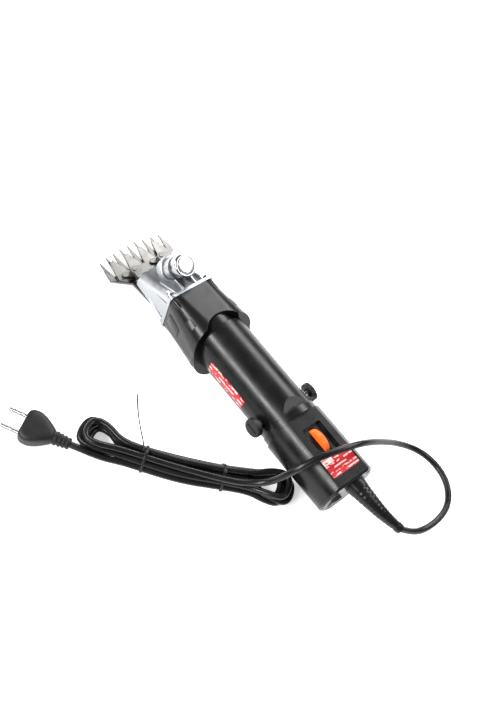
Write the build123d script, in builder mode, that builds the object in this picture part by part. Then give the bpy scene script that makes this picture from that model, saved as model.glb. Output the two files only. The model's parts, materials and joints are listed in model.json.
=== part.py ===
from build123d import *
from math import asin, cos, degrees, pi, radians, sin, sqrt, tan
import os

# Sheep shears: an electric animal clipper with its cord, hank and plug.
# Frame: +X towards the comb, +Y to the user's left, +Z up, z = 0 is the surface it rests on.
# The origin is at the middle of the shears' own box, on that surface. Millimetres.

os.makedirs("parts", exist_ok=True)

# ---------------------------------------------------------------- driving dimensions
overall_length = 350.0      # comb tips to the end of the tail
axis_height = 32.0          # body axis above the surface
head_reach = 100.0          # comb tips to the flange
body_radius = 29.2          # handle
body_wall = 2.6
tail_radius = 32.0
tail_wall = 2.6
neck_step = 2.8             # the neck is this much smaller than the handle
neck_radius = body_radius - neck_step
neck_wall = 2.6

sliding_gap = 0.05          # running fit, measured on the radius
moving_gap = 0.3            # pieces of different moving groups

comb_tip_x = overall_length / 2
tail_end_x = -overall_length / 2
flange_x = comb_tip_x - head_reach
axis_z = axis_height


def x_plane(x):
    """Cross-section plane at station x: sketch coordinates are (y, z)."""
    return Plane.YZ.offset(x)


# ---------------------------------------------------------------- comb and cutter
comb_top = 9.0              # the ground face that the cutter runs on
comb_thickness = 3.0
comb_teeth = 9
comb_width = 76.5           # over the centres of the outer tips
comb_bulge = 5.0            # the middle tip stands this far ahead of the outer ones
tooth_length = 26.0
tip_width = 1.6
root_width = 6.0
tip_droop = 0.8             # the teeth thin towards their tips by this much
heel_width = 47.0
heel_length = 27.0
comb_shoulder = 16.0
comb_pitch = comb_width / (comb_teeth - 1)
comb_root_x = comb_tip_x - comb_bulge - tooth_length + 4.0
comb_heel_x = comb_root_x - comb_shoulder - heel_length
comb_hole_y = 27.0
comb_hole_radius = 1.7
comb_screw_x = comb_heel_x + 11.0
comb_screw_y = 13.0
comb_screw_radius = 2.5
slot_gap = 0.3

with BuildPart() as comb:
    with BuildSketch(Plane.XY.offset(comb_top - comb_thickness)):
        with BuildLine():
            half = comb_width / 2 + root_width / 2
            Polyline(
                (comb_root_x, half),
                (comb_root_x - 2.0, half + 0.6),
                (comb_root_x - comb_shoulder, heel_width / 2),
                (comb_heel_x, heel_width / 2 - 2.0),
                (comb_heel_x, -heel_width / 2 + 2.0),
                (comb_root_x - comb_shoulder, -heel_width / 2),
                (comb_root_x - 2.0, -half - 0.6),
                (comb_root_x, -half),
                close=True,
            )
        make_face()
    extrude(amount=comb_thickness)
    for tooth in range(comb_teeth):
        y = comb_pitch * (tooth - (comb_teeth - 1) / 2)
        tip_x = comb_tip_x - comb_bulge * (2 * y / comb_width) ** 2
        with BuildSketch(Plane.XY.offset(comb_top - comb_thickness)):
            with BuildLine():
                Polyline(
                    (comb_root_x - 3.0, y + root_width / 2),
                    (comb_root_x + 2.0, y + root_width / 2),
                    (tip_x - 1.0, y + tip_width / 2),
                    (tip_x, y),
                    (tip_x - 1.0, y - tip_width / 2),
                    (comb_root_x + 2.0, y - root_width / 2),
                    (comb_root_x - 3.0, y - root_width / 2),
                    close=True,
                )
            make_face()
        extrude(amount=comb_thickness)
    # the underside of the teeth rises towards the tips
    with BuildSketch(Plane.XZ):
        with BuildLine():
            Polyline(
                (comb_root_x, comb_top - comb_thickness),
                (comb_tip_x + 1.0, comb_top - tip_droop),
                (comb_tip_x + 1.0, comb_top - comb_thickness - 1.0),
                (comb_root_x, comb_top - comb_thickness - 1.0),
                close=True,
            )
        make_face()
    extrude(amount=comb_width, both=True, mode=Mode.SUBTRACT)
    # open slots for the two comb screws, from the heel
    with BuildSketch(Plane.XY.offset(comb_top - comb_thickness)):
        for side in (1, -1):
            with Locations((comb_screw_x, side * comb_screw_y)):
                Circle(comb_screw_radius + slot_gap)
            with Locations((comb_screw_x / 2 + comb_heel_x / 2 - 1.0, side * comb_screw_y)):
                Rectangle(comb_screw_x - comb_heel_x + 2.0, 2 * (comb_screw_radius + slot_gap))
            with Locations((comb_root_x - 3.0, side * comb_hole_y)):
                Circle(comb_hole_radius)
    extrude(amount=comb_thickness, mode=Mode.SUBTRACT)
comb.part.label = "comb"
export_step(comb.part, "parts/comb.step")

cutter_teeth = 4
cutter_pitch = 18.0
cutter_tip_x = comb_tip_x - 9.0
cutter_length = 31.0
cutter_thickness = 3.2
cutter_bottom = comb_top + sliding_gap
cutter_root_x = cutter_tip_x - 19.0
cutter_tip_width = 4.0
cutter_root_width = 14.0
foot_hole_radius = 2.0
foot_hole_x = cutter_root_x - 5.0

with BuildPart() as cutter:
    with BuildSketch(Plane.XY.offset(cutter_bottom)):
        for tooth in range(cutter_teeth):
            y = cutter_pitch * (tooth - (cutter_teeth - 1) / 2)
            with BuildLine():
                Polyline(
                    (cutter_root_x - 4.0, y + cutter_root_width / 2),
                    (cutter_root_x, y + cutter_root_width / 2),
                    (cutter_tip_x, y + cutter_tip_width / 2),
                    (cutter_tip_x - 1.6, y),
                    (cutter_tip_x, y - cutter_tip_width / 2),
                    (cutter_root_x, y - cutter_root_width / 2),
                    (cutter_root_x - 4.0, y - cutter_root_width / 2),
                    close=True,
                )
            make_face()
        half = cutter_pitch * (cutter_teeth - 1) / 2 + cutter_root_width / 2
        with BuildLine():
            Polyline(
                (cutter_root_x - 1.0, half),
                (cutter_root_x - 6.0, half),
                (cutter_tip_x - cutter_length, half - 7.0),
                (cutter_tip_x - cutter_length, -half + 7.0),
                (cutter_root_x - 6.0, -half),
                (cutter_root_x - 1.0, -half),
                close=True,
            )
        make_face()
    extrude(amount=cutter_thickness)
    with BuildSketch(Plane.XY.offset(cutter_bottom)):
        for tooth in range(cutter_teeth):
            with Locations((foot_hole_x, cutter_pitch * (tooth - (cutter_teeth - 1) / 2))):
                Circle(foot_hole_radius)
    extrude(amount=cutter_thickness, mode=Mode.SUBTRACT)
    with BuildSketch(Plane.XZ):
        with BuildLine():
            Polyline(
                (cutter_root_x - 1.0, cutter_bottom + cutter_thickness),
                (cutter_tip_x + 1.0, cutter_bottom + cutter_thickness - 1.4),
                (cutter_tip_x + 1.0, cutter_bottom + cutter_thickness + 1.0),
                (cutter_root_x - 1.0, cutter_bottom + cutter_thickness + 1.0),
                close=True,
            )
        make_face()
    extrude(amount=comb_width, both=True, mode=Mode.SUBTRACT)
cutter_top = cutter_bottom + cutter_thickness
cutter.part.label = "cutter"
export_step(cutter.part, "parts/cutter.step")

# ---------------------------------------------------------------- head casting
flange_thickness = 3.5
flange_width = 55.0
flange_height = 54.0
flange_corner = 5.0
flange_mid_z = axis_z - 2.5
head_wall = 3.0
mouth_x = flange_x + 50.0
mouth_width = 50.0
mouth_top = axis_z + 1.0
head_back_width = 50.0
head_back_top = axis_z + 23.0
head_back_bottom = 4.0
head_corner = 11.0
bed_x = comb_heel_x - 2.0      # the comb lies against the bed from here forwards
bed_thickness = 4.0
bed_top = comb_top + bed_thickness

# tension screw: its axis leans back from the fork to the knob
tension_lean = 32.0
tension_foot_x = flange_x + 47.5
tension_foot_z = axis_z - 7.0
boss_radius = 11.5
boss_top = 42.0                # along the axis, from the foot
boss_base = 17.0
pin_radius = 4.0
pin_reach = 3.5                # of the tension pin, below the foot of its plane
knob_radius = 12.2
knob_height = 12.0
collar_radius = 9.5
collar_height = 5.0
tension_plane = Plane(
    origin=(tension_foot_x, 0, tension_foot_z),
    x_dir=(0, 1, 0),
    z_dir=(-sin(radians(tension_lean)), 0, cos(radians(tension_lean))),
)

fulcrum_x = flange_x + 38.0
fulcrum_radius = 4.0
flange_screw_y = 22.5
flange_screw_top_z = axis_z + 19.5
flange_screw_bottom_z = axis_z - 24.0
flange_screw_radius = 2.0
screw_head_radius = 3.8
screw_head_height = 3.0

with BuildPart() as head_casting:
    with BuildSketch(x_plane(flange_x)):
        with Locations((0, flange_mid_z)):
            RectangleRounded(flange_width, flange_height, flange_corner)
    extrude(amount=flange_thickness)
    with BuildSketch(x_plane(flange_x + flange_thickness - 0.5)):
        with Locations((0, (head_back_top + head_back_bottom) / 2)):
            RectangleRounded(head_back_width, head_back_top - head_back_bottom, head_corner)
    with BuildSketch(x_plane(mouth_x)):
        with Locations((0, (mouth_top + comb_top) / 2)):
            RectangleRounded(mouth_width, mouth_top - comb_top, head_corner)
    loft(ruled=True)
    # boss for the tension screw
    with BuildSketch(tension_plane.offset(boss_base)):
        Circle(boss_radius)
    extrude(amount=boss_top - boss_base)
    # hollow for the fork, open at the mouth and at the flange
    with BuildSketch(x_plane(flange_x)):
        with Locations((0, (head_back_top + head_back_bottom) / 2)):
            RectangleRounded(
                head_back_width - 2 * head_wall,
                head_back_top - head_back_bottom - 2 * head_wall,
                head_corner - head_wall,
            )
    with BuildSketch(x_plane(mouth_x + 0.1)):
        with Locations((0, (mouth_top - head_wall + bed_top) / 2)):
            RectangleRounded(mouth_width - 2 * head_wall, mouth_top - head_wall - bed_top, 7.0)
    loft(ruled=True, mode=Mode.SUBTRACT)
    # the comb lies in a step under the bed
    with BuildSketch(Plane.XZ):
        with Locations(((bed_x + mouth_x + 20.0) / 2, comb_top / 2)):
            Rectangle(mouth_x + 20.0 - bed_x, comb_top)
    extrude(amount=mouth_width, both=True, mode=Mode.SUBTRACT)
    with BuildSketch(tension_plane):
        Circle(pin_radius + sliding_gap)
    extrude(amount=boss_top + 1.0, mode=Mode.SUBTRACT)
    with BuildSketch(Plane.XY):
        with Locations((fulcrum_x, 0)):
            Circle(fulcrum_radius)
        with Locations((comb_screw_x, comb_screw_y), (comb_screw_x, -comb_screw_y)):
            Circle(comb_screw_radius)
    extrude(amount=bed_top, mode=Mode.SUBTRACT)
    with BuildSketch(x_plane(flange_x)):
        with Locations(
            (flange_screw_y, flange_screw_top_z),
            (-flange_screw_y, flange_screw_top_z),
            (flange_screw_y, flange_screw_bottom_z),
            (-flange_screw_y, flange_screw_bottom_z),
        ):
            Circle(flange_screw_radius)
    extrude(amount=flange_thickness, mode=Mode.SUBTRACT)
    with BuildSketch(x_plane(flange_x + flange_thickness)):
        with Locations(
            (flange_screw_y, flange_screw_top_z),
            (-flange_screw_y, flange_screw_top_z),
            (flange_screw_y, flange_screw_bottom_z),
            (-flange_screw_y, flange_screw_bottom_z),
        ):
            Circle(screw_head_radius + 0.2)
    extrude(amount=16.0, mode=Mode.SUBTRACT)
head_casting.part.label = "head_casting"
export_step(head_casting.part, "parts/head_casting.step")

# ---------------------------------------------------------------- gear housing
bell_front_width = 54.0
bell_front_height = 54.0
bell_front_corner = 12.0
bell_width = 74.0
bell_height = 62.0
bell_corner = 26.0
bell_end_x = flange_x - 55.0
skirt_end_x = flange_x - 71.0
crank_chamber = 12.0           # between the flange and the housing's inner wall
wall_thickness = 5.0           # of that inner wall
gear_chamber_x = flange_x - 31.0
gear_chamber_width = 52.0
gear_chamber_top = axis_z + 23.6
gear_chamber_bottom = 2.8
crank_z = axis_z - 16.0
crank_bearing_radius = 8.0
rim_top_x = flange_x - 38.5
collar_front_x = flange_x - 50.0
rim_radius = 24.0
rim_saddle_z = axis_z + 14.0
skirt_slope = 0.318            # how far the skirt's edge runs back for each mm down
skirt_mid_x = flange_x - 62.0
skirt_mid_z = axis_z - 14.0
skirt_screw_x = flange_x - 55.5
skirt_screw_tilt = 22.0
skirt_screw_seat = 34.6        # from the body axis to the screw's bearing face
skirt_screw_head = 3.2
skirt_screw_radius = 1.5
skirt_screw_reach = 10.0


def skirt_screw_plane(side):
    """Plane through the body axis, facing out along the skirt screw of one side."""
    return Plane(
        origin=(skirt_screw_x, 0, axis_z),
        x_dir=(1, 0, 0),
        z_dir=(0, side * cos(radians(skirt_screw_tilt)), -sin(radians(skirt_screw_tilt))),
    )


with BuildPart() as gear_housing:
    with BuildSketch(x_plane(flange_x)):
        with Locations((0, flange_mid_z)):
            RectangleRounded(bell_front_width, bell_front_height, bell_front_corner)
    with BuildSketch(x_plane(bell_end_x)):
        with Locations((0, bell_height / 2)):
            RectangleRounded(bell_width, bell_height, bell_corner)
    loft(ruled=True)
    with BuildSketch(x_plane(skirt_end_x)):
        with Locations((0, bell_height / 2)):
            RectangleRounded(bell_width, bell_height, bell_corner)
    extrude(amount=bell_end_x - skirt_end_x)
    # crank chamber, open to the head
    with BuildSketch(x_plane(flange_x - crank_chamber)):
        with Locations((0, flange_mid_z)):
            RectangleRounded(48.0, 49.0, 10.0)
    extrude(amount=crank_chamber, mode=Mode.SUBTRACT)
    # gear chamber
    with BuildSketch(x_plane(gear_chamber_x)):
        with Locations((0, (gear_chamber_top + gear_chamber_bottom) / 2)):
            RectangleRounded(gear_chamber_width, gear_chamber_top - gear_chamber_bottom, 20.0)
    extrude(amount=flange_x - crank_chamber - wall_thickness - gear_chamber_x, mode=Mode.SUBTRACT)
    with BuildSketch(x_plane(flange_x - crank_chamber - wall_thickness)):
        with Locations((0, crank_z)):
            Circle(crank_bearing_radius)
    extrude(amount=wall_thickness, mode=Mode.SUBTRACT)
    # seat for the handle's neck, then room for the handle itself
    with BuildSketch(x_plane(skirt_end_x)):
        with Locations((0, axis_z)):
            Circle(neck_radius)
    extrude(amount=gear_chamber_x - skirt_end_x, mode=Mode.SUBTRACT)
    with BuildSketch(x_plane(skirt_end_x)):
        with Locations((0, axis_z)):
            Circle(body_radius)
    extrude(amount=collar_front_x - skirt_end_x, mode=Mode.SUBTRACT)
    # rear rim: a slanting skirt, and a saddle over the neck
    with BuildSketch(Plane.XZ):
        with BuildLine():
            Polyline(
                (skirt_mid_x + skirt_slope * (80.0 - skirt_mid_z), 80.0),
                (skirt_mid_x - skirt_slope * skirt_mid_z, 0.0),
                (skirt_end_x - 5.0, 0.0),
                (skirt_end_x - 5.0, 80.0),
                close=True,
            )
        make_face()
    extrude(amount=bell_width, both=True, mode=Mode.SUBTRACT)
    with BuildSketch(Plane.XY.offset(rim_saddle_z)):
        with Locations((rim_top_x - rim_radius, 0)):
            Circle(rim_radius)
    extrude(amount=axis_z, mode=Mode.SUBTRACT)
    with BuildSketch(x_plane(flange_x - crank_chamber)):
        with Locations(
            (flange_screw_y, flange_screw_top_z),
            (-flange_screw_y, flange_screw_top_z),
            (flange_screw_y, flange_screw_bottom_z),
            (-flange_screw_y, flange_screw_bottom_z),
        ):
            Circle(flange_screw_radius + 1.5)
    extrude(amount=crank_chamber)
    with BuildSketch(x_plane(flange_x - crank_chamber)):
        with Locations(
            (flange_screw_y, flange_screw_top_z),
            (-flange_screw_y, flange_screw_top_z),
            (flange_screw_y, flange_screw_bottom_z),
            (-flange_screw_y, flange_screw_bottom_z),
        ):
            Circle(flange_screw_radius)
    extrude(amount=crank_chamber, mode=Mode.SUBTRACT)
    for side in (1, -1):
        with BuildSketch(skirt_screw_plane(side).offset(skirt_screw_seat)):
            Circle(skirt_screw_head)
        extrude(amount=skirt_screw_reach, mode=Mode.SUBTRACT)
        with BuildSketch(skirt_screw_plane(side).offset(skirt_screw_seat - skirt_screw_reach)):
            Circle(skirt_screw_radius)
        extrude(amount=skirt_screw_reach, mode=Mode.SUBTRACT)
gear_housing.part.label = "gear_housing"
export_step(gear_housing.part, "parts/gear_housing.step")

# ---------------------------------------------------------------- handle
handle_rear_x = flange_x - 162.0
neck_front_x = gear_chamber_x
collar_round = 40.0
brush_x = flange_x - 150.0
brush_tilt = 7.7
holder_radius = 4.6
thumb_flat_front_x = flange_x - 150.0
thumb_flat_drop = 3.6
thumb_wall_z = axis_z + body_radius - thumb_flat_drop - body_wall


def brush_plane(side):
    """Plane through the body axis, facing out along the brush holder of one side."""
    return Plane(
        origin=(brush_x, 0, axis_z),
        x_dir=(1, 0, 0),
        z_dir=(0, side * cos(radians(brush_tilt)), sin(radians(brush_tilt))),
    )


with BuildPart() as motor_housing:
    with BuildSketch(x_plane(handle_rear_x)):
        with Locations((0, axis_z)):
            Circle(body_radius)
    extrude(amount=collar_front_x - handle_rear_x)
    # the handle's front edge is an arc in plan
    with BuildSketch(Plane.XY):
        with Locations((collar_front_x - collar_round, 0)):
            Circle(collar_round)
        with Locations(((handle_rear_x + rim_top_x - 14.0) / 2 - 10.0, 0)):
            Rectangle(rim_top_x - 14.0 - handle_rear_x + 20.0, 2.5 * body_radius)
    extrude(amount=2.5 * axis_z, mode=Mode.INTERSECT)
    with BuildSketch(x_plane(handle_rear_x)):
        with Locations((0, axis_z)):
            Circle(neck_radius)
    extrude(amount=neck_front_x - handle_rear_x)
    with BuildSketch(x_plane(handle_rear_x)):
        with Locations((0, axis_z)):
            Circle(body_radius - body_wall)
    extrude(amount=collar_front_x - 14.0 - handle_rear_x, mode=Mode.SUBTRACT)
    with BuildSketch(x_plane(handle_rear_x)):
        with Locations((0, axis_z)):
            Circle(neck_radius - neck_wall)
    extrude(amount=neck_front_x - handle_rear_x, mode=Mode.SUBTRACT)
    # slanting thumb flat at the rear of the top, with a flat wall under it
    with BuildSketch(x_plane(handle_rear_x)):
        with Locations((0, axis_z)):
            Circle(body_radius - body_wall / 2)
        with Locations((0, thumb_wall_z - body_radius)):
            Rectangle(3 * body_radius, 2 * body_radius, mode=Mode.SUBTRACT)
    extrude(amount=thumb_flat_front_x - handle_rear_x)
    with BuildSketch(Plane.XZ):
        with BuildLine():
            Polyline(
                (thumb_flat_front_x, axis_z + body_radius),
                (handle_rear_x + 2.0, axis_z + body_radius - thumb_flat_drop),
                (handle_rear_x - 1.0, axis_z + body_radius - thumb_flat_drop),
                (handle_rear_x - 1.0, axis_z + body_radius + 5.0),
                (thumb_flat_front_x, axis_z + body_radius + 5.0),
                close=True,
            )
        make_face()
    extrude(amount=body_radius, both=True, mode=Mode.SUBTRACT)
    for side in (1, -1):
        with BuildSketch(brush_plane(side)):
            Circle(holder_radius)
        extrude(amount=1.5 * body_radius, mode=Mode.SUBTRACT)
        with BuildSketch(skirt_screw_plane(side).offset(skirt_screw_seat - skirt_screw_reach)):
            Circle(skirt_screw_radius)
        extrude(amount=skirt_screw_reach, mode=Mode.SUBTRACT)
motor_housing.part.label = "motor_housing"
export_step(motor_housing.part, "parts/motor_housing.step")

# ---------------------------------------------------------------- tail
tail_front_x = handle_rear_x
tail_step_x = flange_x - 170.0
tail_collar_radius = 30.4
cap_thickness = 4.0
tail_cap_x = tail_end_x + cap_thickness
panel_front_z = axis_z + 26.9
panel_rear_z = axis_z + 25.4
tail_inner_top = axis_z + 20.5
cap_screw_circle = 27.0
cap_screw_angles = (40.0, 140.0, 235.0, 305.0)
cap_screw_head = 2.4
cap_screw_radius = 1.3
cap_boss_radius = 3.2
cap_boss_length = 12.0
recess_front_x = flange_x - 184.0
recess_rear_x = flange_x - 215.5
recess_width = 22.4
recess_floor_z = axis_z + 22.6
dial_x = flange_x - 199.5
dial_z = axis_z + 15.6
dial_radius = 14.2
dial_width = 6.0
dial_slot_gap = 0.8

with BuildPart() as tail_housing:
    with BuildSketch(x_plane(tail_cap_x)):
        with Locations((0, axis_z)):
            Circle(tail_radius)
    extrude(amount=tail_step_x - tail_cap_x)
    with BuildSketch(Plane.XZ):
        with BuildLine():
            Polyline(
                (tail_front_x, panel_front_z),
                (tail_step_x, panel_front_z),
                (tail_end_x, panel_rear_z),
                (tail_end_x, axis_z + tail_radius + 5.0),
                (tail_front_x, axis_z + tail_radius + 5.0),
                close=True,
            )
        make_face()
    extrude(amount=tail_radius, both=True, mode=Mode.SUBTRACT)
    with BuildSketch(x_plane(tail_step_x)):
        with Locations((0, axis_z)):
            Circle(tail_collar_radius)
    extrude(amount=tail_front_x - tail_step_x)
    with BuildSketch(x_plane(tail_cap_x)):
        with Locations((0, axis_z)):
            Circle(tail_radius - tail_wall)
        with Locations((0, tail_inner_top + tail_radius / 2)):
            Rectangle(2 * tail_radius, tail_radius, mode=Mode.SUBTRACT)
    extrude(amount=tail_step_x - tail_cap_x, mode=Mode.SUBTRACT)
    with BuildSketch(x_plane(tail_step_x)):
        with Locations((0, axis_z)):
            Circle(neck_radius - neck_wall)
    extrude(amount=tail_front_x - tail_step_x, mode=Mode.SUBTRACT)
    with BuildSketch(Plane.XY.offset(recess_floor_z)):
        with Locations(((recess_front_x + recess_rear_x) / 2, 0)):
            RectangleRounded(recess_front_x - recess_rear_x, recess_width, 1.5)
    extrude(amount=tail_radius, mode=Mode.SUBTRACT)
    with BuildSketch(Plane.XY.offset(axis_z)):
        with Locations((dial_x, 0)):
            Rectangle(2 * dial_radius - 1.0, dial_width + 2 * dial_slot_gap)
    extrude(amount=tail_radius, mode=Mode.SUBTRACT)
    for angle in cap_screw_angles:
        with BuildSketch(x_plane(tail_cap_x)):
            with Locations((0, axis_z)):
                with PolarLocations(cap_screw_circle, 1, start_angle=angle):
                    Circle(cap_boss_radius)
        extrude(amount=cap_boss_length)
        with BuildSketch(x_plane(tail_cap_x)):
            with Locations((0, axis_z)):
                with PolarLocations(cap_screw_circle, 1, start_angle=angle):
                    Circle(cap_screw_radius)
        extrude(amount=cap_boss_length - 2.0, mode=Mode.SUBTRACT)
tail_housing.part.label = "tail_housing"
export_step(tail_housing.part, "parts/tail_housing.step")

relief_y = -8.0
relief_z = axis_z + 6.0
relief_base_radius = 11.0
relief_tip_radius = 5.8
rocker_y = 15.5
rocker_z = axis_z - 3.0
rocker_width = 9.0
rocker_height = 17.0

with BuildPart() as end_cap:
    with BuildSketch(x_plane(tail_end_x)):
        with Locations((0, axis_z)):
            Circle(tail_radius)
        with Locations((0, panel_rear_z + tail_radius / 2)):
            Rectangle(2 * tail_radius, tail_radius, mode=Mode.SUBTRACT)
    extrude(amount=cap_thickness)
    chamfer(end_cap.faces().sort_by(Axis.X)[0].edges(), 2.2)
    with BuildSketch(x_plane(tail_end_x)):
        with Locations((relief_y, relief_z)):
            Circle(relief_base_radius - 3.0)
        with Locations((rocker_y, rocker_z)):
            Rectangle(rocker_width + 4.0, rocker_height + 4.0)
        for angle in cap_screw_angles:
            with Locations((0, axis_z)):
                with PolarLocations(cap_screw_circle, 1, start_angle=angle):
                    Circle(cap_screw_head)
    extrude(amount=cap_thickness, mode=Mode.SUBTRACT)
end_cap.part.label = "end_cap"
export_step(end_cap.part, "parts/end_cap.step")

# ---------------------------------------------------------------- motor
shaft_radius = 3.0
pinion_spigot_radius = 1.8
front_bearing_x = flange_x - 38.0
rear_bearing_x = handle_rear_x + 0.5
bearing_width = 4.5
bearing_radius = 8.0
plate_x = front_bearing_x - 1.0
plate_thickness = 7.0
core_front_x = flange_x - 76.0
core_length = 43.0
core_rear_x = core_front_x - core_length
armature_radius = 14.0
air_gap = 0.8
commutator_radius = 11.0
commutator_length = 11.0
commutator_x = brush_x - commutator_length / 2
winding_radius = 12.5
winding_length = 7.0
fan_x = core_front_x + 12.0
fan_thickness = 9.0
fan_radius = 21.5
fan_blades = 9

gear_module = 1.0
pinion_teeth = 8
gear_teeth = 24
pinion_x = gear_chamber_x + 2.0
gear_width = 8.0
tooth_share = 0.40             # of the pitch, the rest is backlash
gear_ratio = pinion_teeth / gear_teeth

# the crank throws the lever's tail from side to side
crank_reach = fulcrum_x - (flange_x - 1.0)
swing_angle = 7.0
crank_throw = crank_reach * sin(radians(swing_angle))
crank_shaft_radius = 3.0
crank_pin_radius = 2.0
roller_radius = 3.2
roller_x = flange_x - 4.0
roller_length = 6.0
crank_web_x = flange_x - 10.0
crank_web_thickness = 4.0

with BuildPart() as gear_plate:
    with BuildSketch(x_plane(plate_x)):
        with Locations((0, axis_z)):
            Circle(neck_radius - neck_wall)
        with Locations((0, axis_z)):
            Circle(bearing_radius, mode=Mode.SUBTRACT)
        with Locations((0, crank_z)):
            Circle(crank_shaft_radius + 2.5, mode=Mode.SUBTRACT)
    extrude(amount=plate_thickness)
gear_plate.part.label = "gear_plate"
export_step(gear_plate.part, "parts/gear_plate.step")

with BuildPart() as front_bearing:
    with BuildSketch(x_plane(front_bearing_x)):
        with Locations((0, axis_z)):
            Circle(bearing_radius)
            Circle(shaft_radius + sliding_gap, mode=Mode.SUBTRACT)
    extrude(amount=bearing_width)
front_bearing.part.label = "front_bearing"
export_step(front_bearing.part, "parts/front_bearing.step")

with BuildPart() as rear_bearing:
    with BuildSketch(x_plane(rear_bearing_x)):
        with Locations((0, axis_z)):
            Circle(bearing_radius)
            Circle(shaft_radius + sliding_gap, mode=Mode.SUBTRACT)
    extrude(amount=bearing_width)
rear_bearing.part.label = "rear_bearing"
export_step(rear_bearing.part, "parts/rear_bearing.step")

with BuildPart() as bearing_bracket:
    with BuildSketch(x_plane(handle_rear_x)):
        with Locations((0, axis_z)):
            Circle(body_radius - body_wall)
            Circle(bearing_radius, mode=Mode.SUBTRACT)
            with PolarLocations(17.0, 4, start_angle=45):
                SlotOverall(14.0, 7.0, rotation=90, mode=Mode.SUBTRACT)
        with Locations((0, thumb_wall_z + body_radius)):
            Rectangle(2 * body_radius, 2 * body_radius, mode=Mode.SUBTRACT)
    extrude(amount=rear_bearing_x + bearing_width - handle_rear_x)
bearing_bracket.part.label = "bearing_bracket"
export_step(bearing_bracket.part, "parts/bearing_bracket.step")

with BuildPart() as stator_core:
    with BuildSketch(x_plane(core_rear_x)):
        with Locations((0, axis_z)):
            Circle(body_radius - body_wall)
            Circle(armature_radius + air_gap, mode=Mode.SUBTRACT)
            with PolarLocations(19.0, 2, start_angle=0):
                Rectangle(5.0, 22.0, mode=Mode.SUBTRACT)
    extrude(amount=core_length)
stator_core.part.label = "stator_core"
export_step(stator_core.part, "parts/stator_core.step")

for side, sign in (("left", 1), ("right", -1)):
    with BuildPart() as field_coil:
        with BuildSketch(x_plane(core_rear_x - winding_length)):
            with Locations((0, axis_z)):
                Circle(23.5)
                Circle(armature_radius + air_gap + 1.0, mode=Mode.SUBTRACT)
            with Locations((-sign * body_radius, axis_z)):
                Rectangle(2 * body_radius + 12.0, 3 * body_radius, mode=Mode.SUBTRACT)
        extrude(amount=winding_length)
        with BuildSketch(x_plane(core_front_x)):
            with Locations((0, axis_z)):
                Circle(23.5)
                Circle(armature_radius + air_gap + 1.0, mode=Mode.SUBTRACT)
            with Locations((-sign * body_radius, axis_z)):
                Rectangle(2 * body_radius + 12.0, 3 * body_radius, mode=Mode.SUBTRACT)
        extrude(amount=winding_length)
        with BuildSketch(x_plane(core_rear_x)):
            with Locations((sign * 19.0, axis_z)):
                Rectangle(5.0, 22.0)
        extrude(amount=core_length)
    field_coil.part.label = f"{side}_field_coil"
    export_step(field_coil.part, f"parts/{side}_field_coil.step")

with BuildPart() as armature_shaft:
    with BuildSketch(x_plane(rear_bearing_x)):
        with Locations((0, axis_z)):
            Circle(shaft_radius)
    extrude(amount=pinion_x - 0.5 - rear_bearing_x)
    with BuildSketch(x_plane(pinion_x - 0.5)):
        with Locations((0, axis_z)):
            Circle(pinion_spigot_radius)
    extrude(amount=gear_width + 1.0)
armature_shaft.part.label = "armature_shaft"
export_step(armature_shaft.part, "parts/armature_shaft.step")

with BuildPart() as armature_core:
    with BuildSketch(x_plane(core_rear_x + 1.0)):
        with Locations((0, axis_z)):
            Circle(armature_radius)
            Circle(shaft_radius, mode=Mode.SUBTRACT)
            with PolarLocations(armature_radius - 1.5, 12):
                Rectangle(5.0, 2.0, mode=Mode.SUBTRACT)
    extrude(amount=core_length - 2.0)
armature_core.part.label = "armature_core"
export_step(armature_core.part, "parts/armature_core.step")

with BuildPart() as armature_winding:
    for x in (core_rear_x + 1.0 - winding_length, core_front_x - 1.0):
        with BuildSketch(x_plane(x)):
            with Locations((0, axis_z)):
                Circle(winding_radius)
                Circle(shaft_radius, mode=Mode.SUBTRACT)
        extrude(amount=winding_length)
armature_winding.part.label = "armature_winding"
export_step(armature_winding.part, "parts/armature_winding.step")

with BuildPart() as commutator:
    with BuildSketch(x_plane(commutator_x)):
        with Locations((0, axis_z)):
            Circle(commutator_radius)
            Circle(shaft_radius, mode=Mode.SUBTRACT)
    extrude(amount=commutator_length)
commutator.part.label = "commutator"
export_step(commutator.part, "parts/commutator.step")

with BuildPart() as cooling_fan:
    with BuildSketch(x_plane(fan_x)):
        with Locations((0, axis_z)):
            Circle(fan_radius)
            Circle(shaft_radius, mode=Mode.SUBTRACT)
    extrude(amount=1.5)
    with BuildSketch(x_plane(fan_x)):
        with Locations((0, axis_z)):
            Circle(shaft_radius + 3.0)
            Circle(shaft_radius, mode=Mode.SUBTRACT)
            with PolarLocations((fan_radius + shaft_radius) / 2 + 1.0, fan_blades):
                Rectangle(fan_radius - shaft_radius - 3.0, 1.6, rotation=14)
    extrude(amount=fan_thickness)
cooling_fan.part.label = "cooling_fan"
export_step(cooling_fan.part, "parts/cooling_fan.step")


def gear_outline(teeth, bore, phase):
    """A spur gear's cross-section, as a sketch about its own centre."""
    pitch_radius = gear_module * teeth / 2
    tip_radius = pitch_radius + 0.95 * gear_module
    root_radius = pitch_radius - 1.2 * gear_module
    pitch_half = 180.0 / teeth * tooth_share
    root_half = pitch_half * 1.45
    tip_half = pitch_half * 0.42
    with BuildSketch(mode=Mode.PRIVATE) as outline:
        Circle(root_radius)
        for tooth in range(teeth):
            middle = phase + 360.0 * tooth / teeth
            corners = []
            for radius, offset_angle in (
                (root_radius - 0.4, -root_half),
                (pitch_radius, -pitch_half),
                (tip_radius, -tip_half),
                (tip_radius, tip_half),
                (pitch_radius, pitch_half),
                (root_radius - 0.4, root_half),
            ):
                angle = radians(middle + offset_angle)
                corners.append((radius * cos(angle), radius * sin(angle)))
            with BuildLine():
                Polyline(*corners, close=True)
            make_face()
        Circle(bore, mode=Mode.SUBTRACT)
    return outline.sketch


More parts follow.
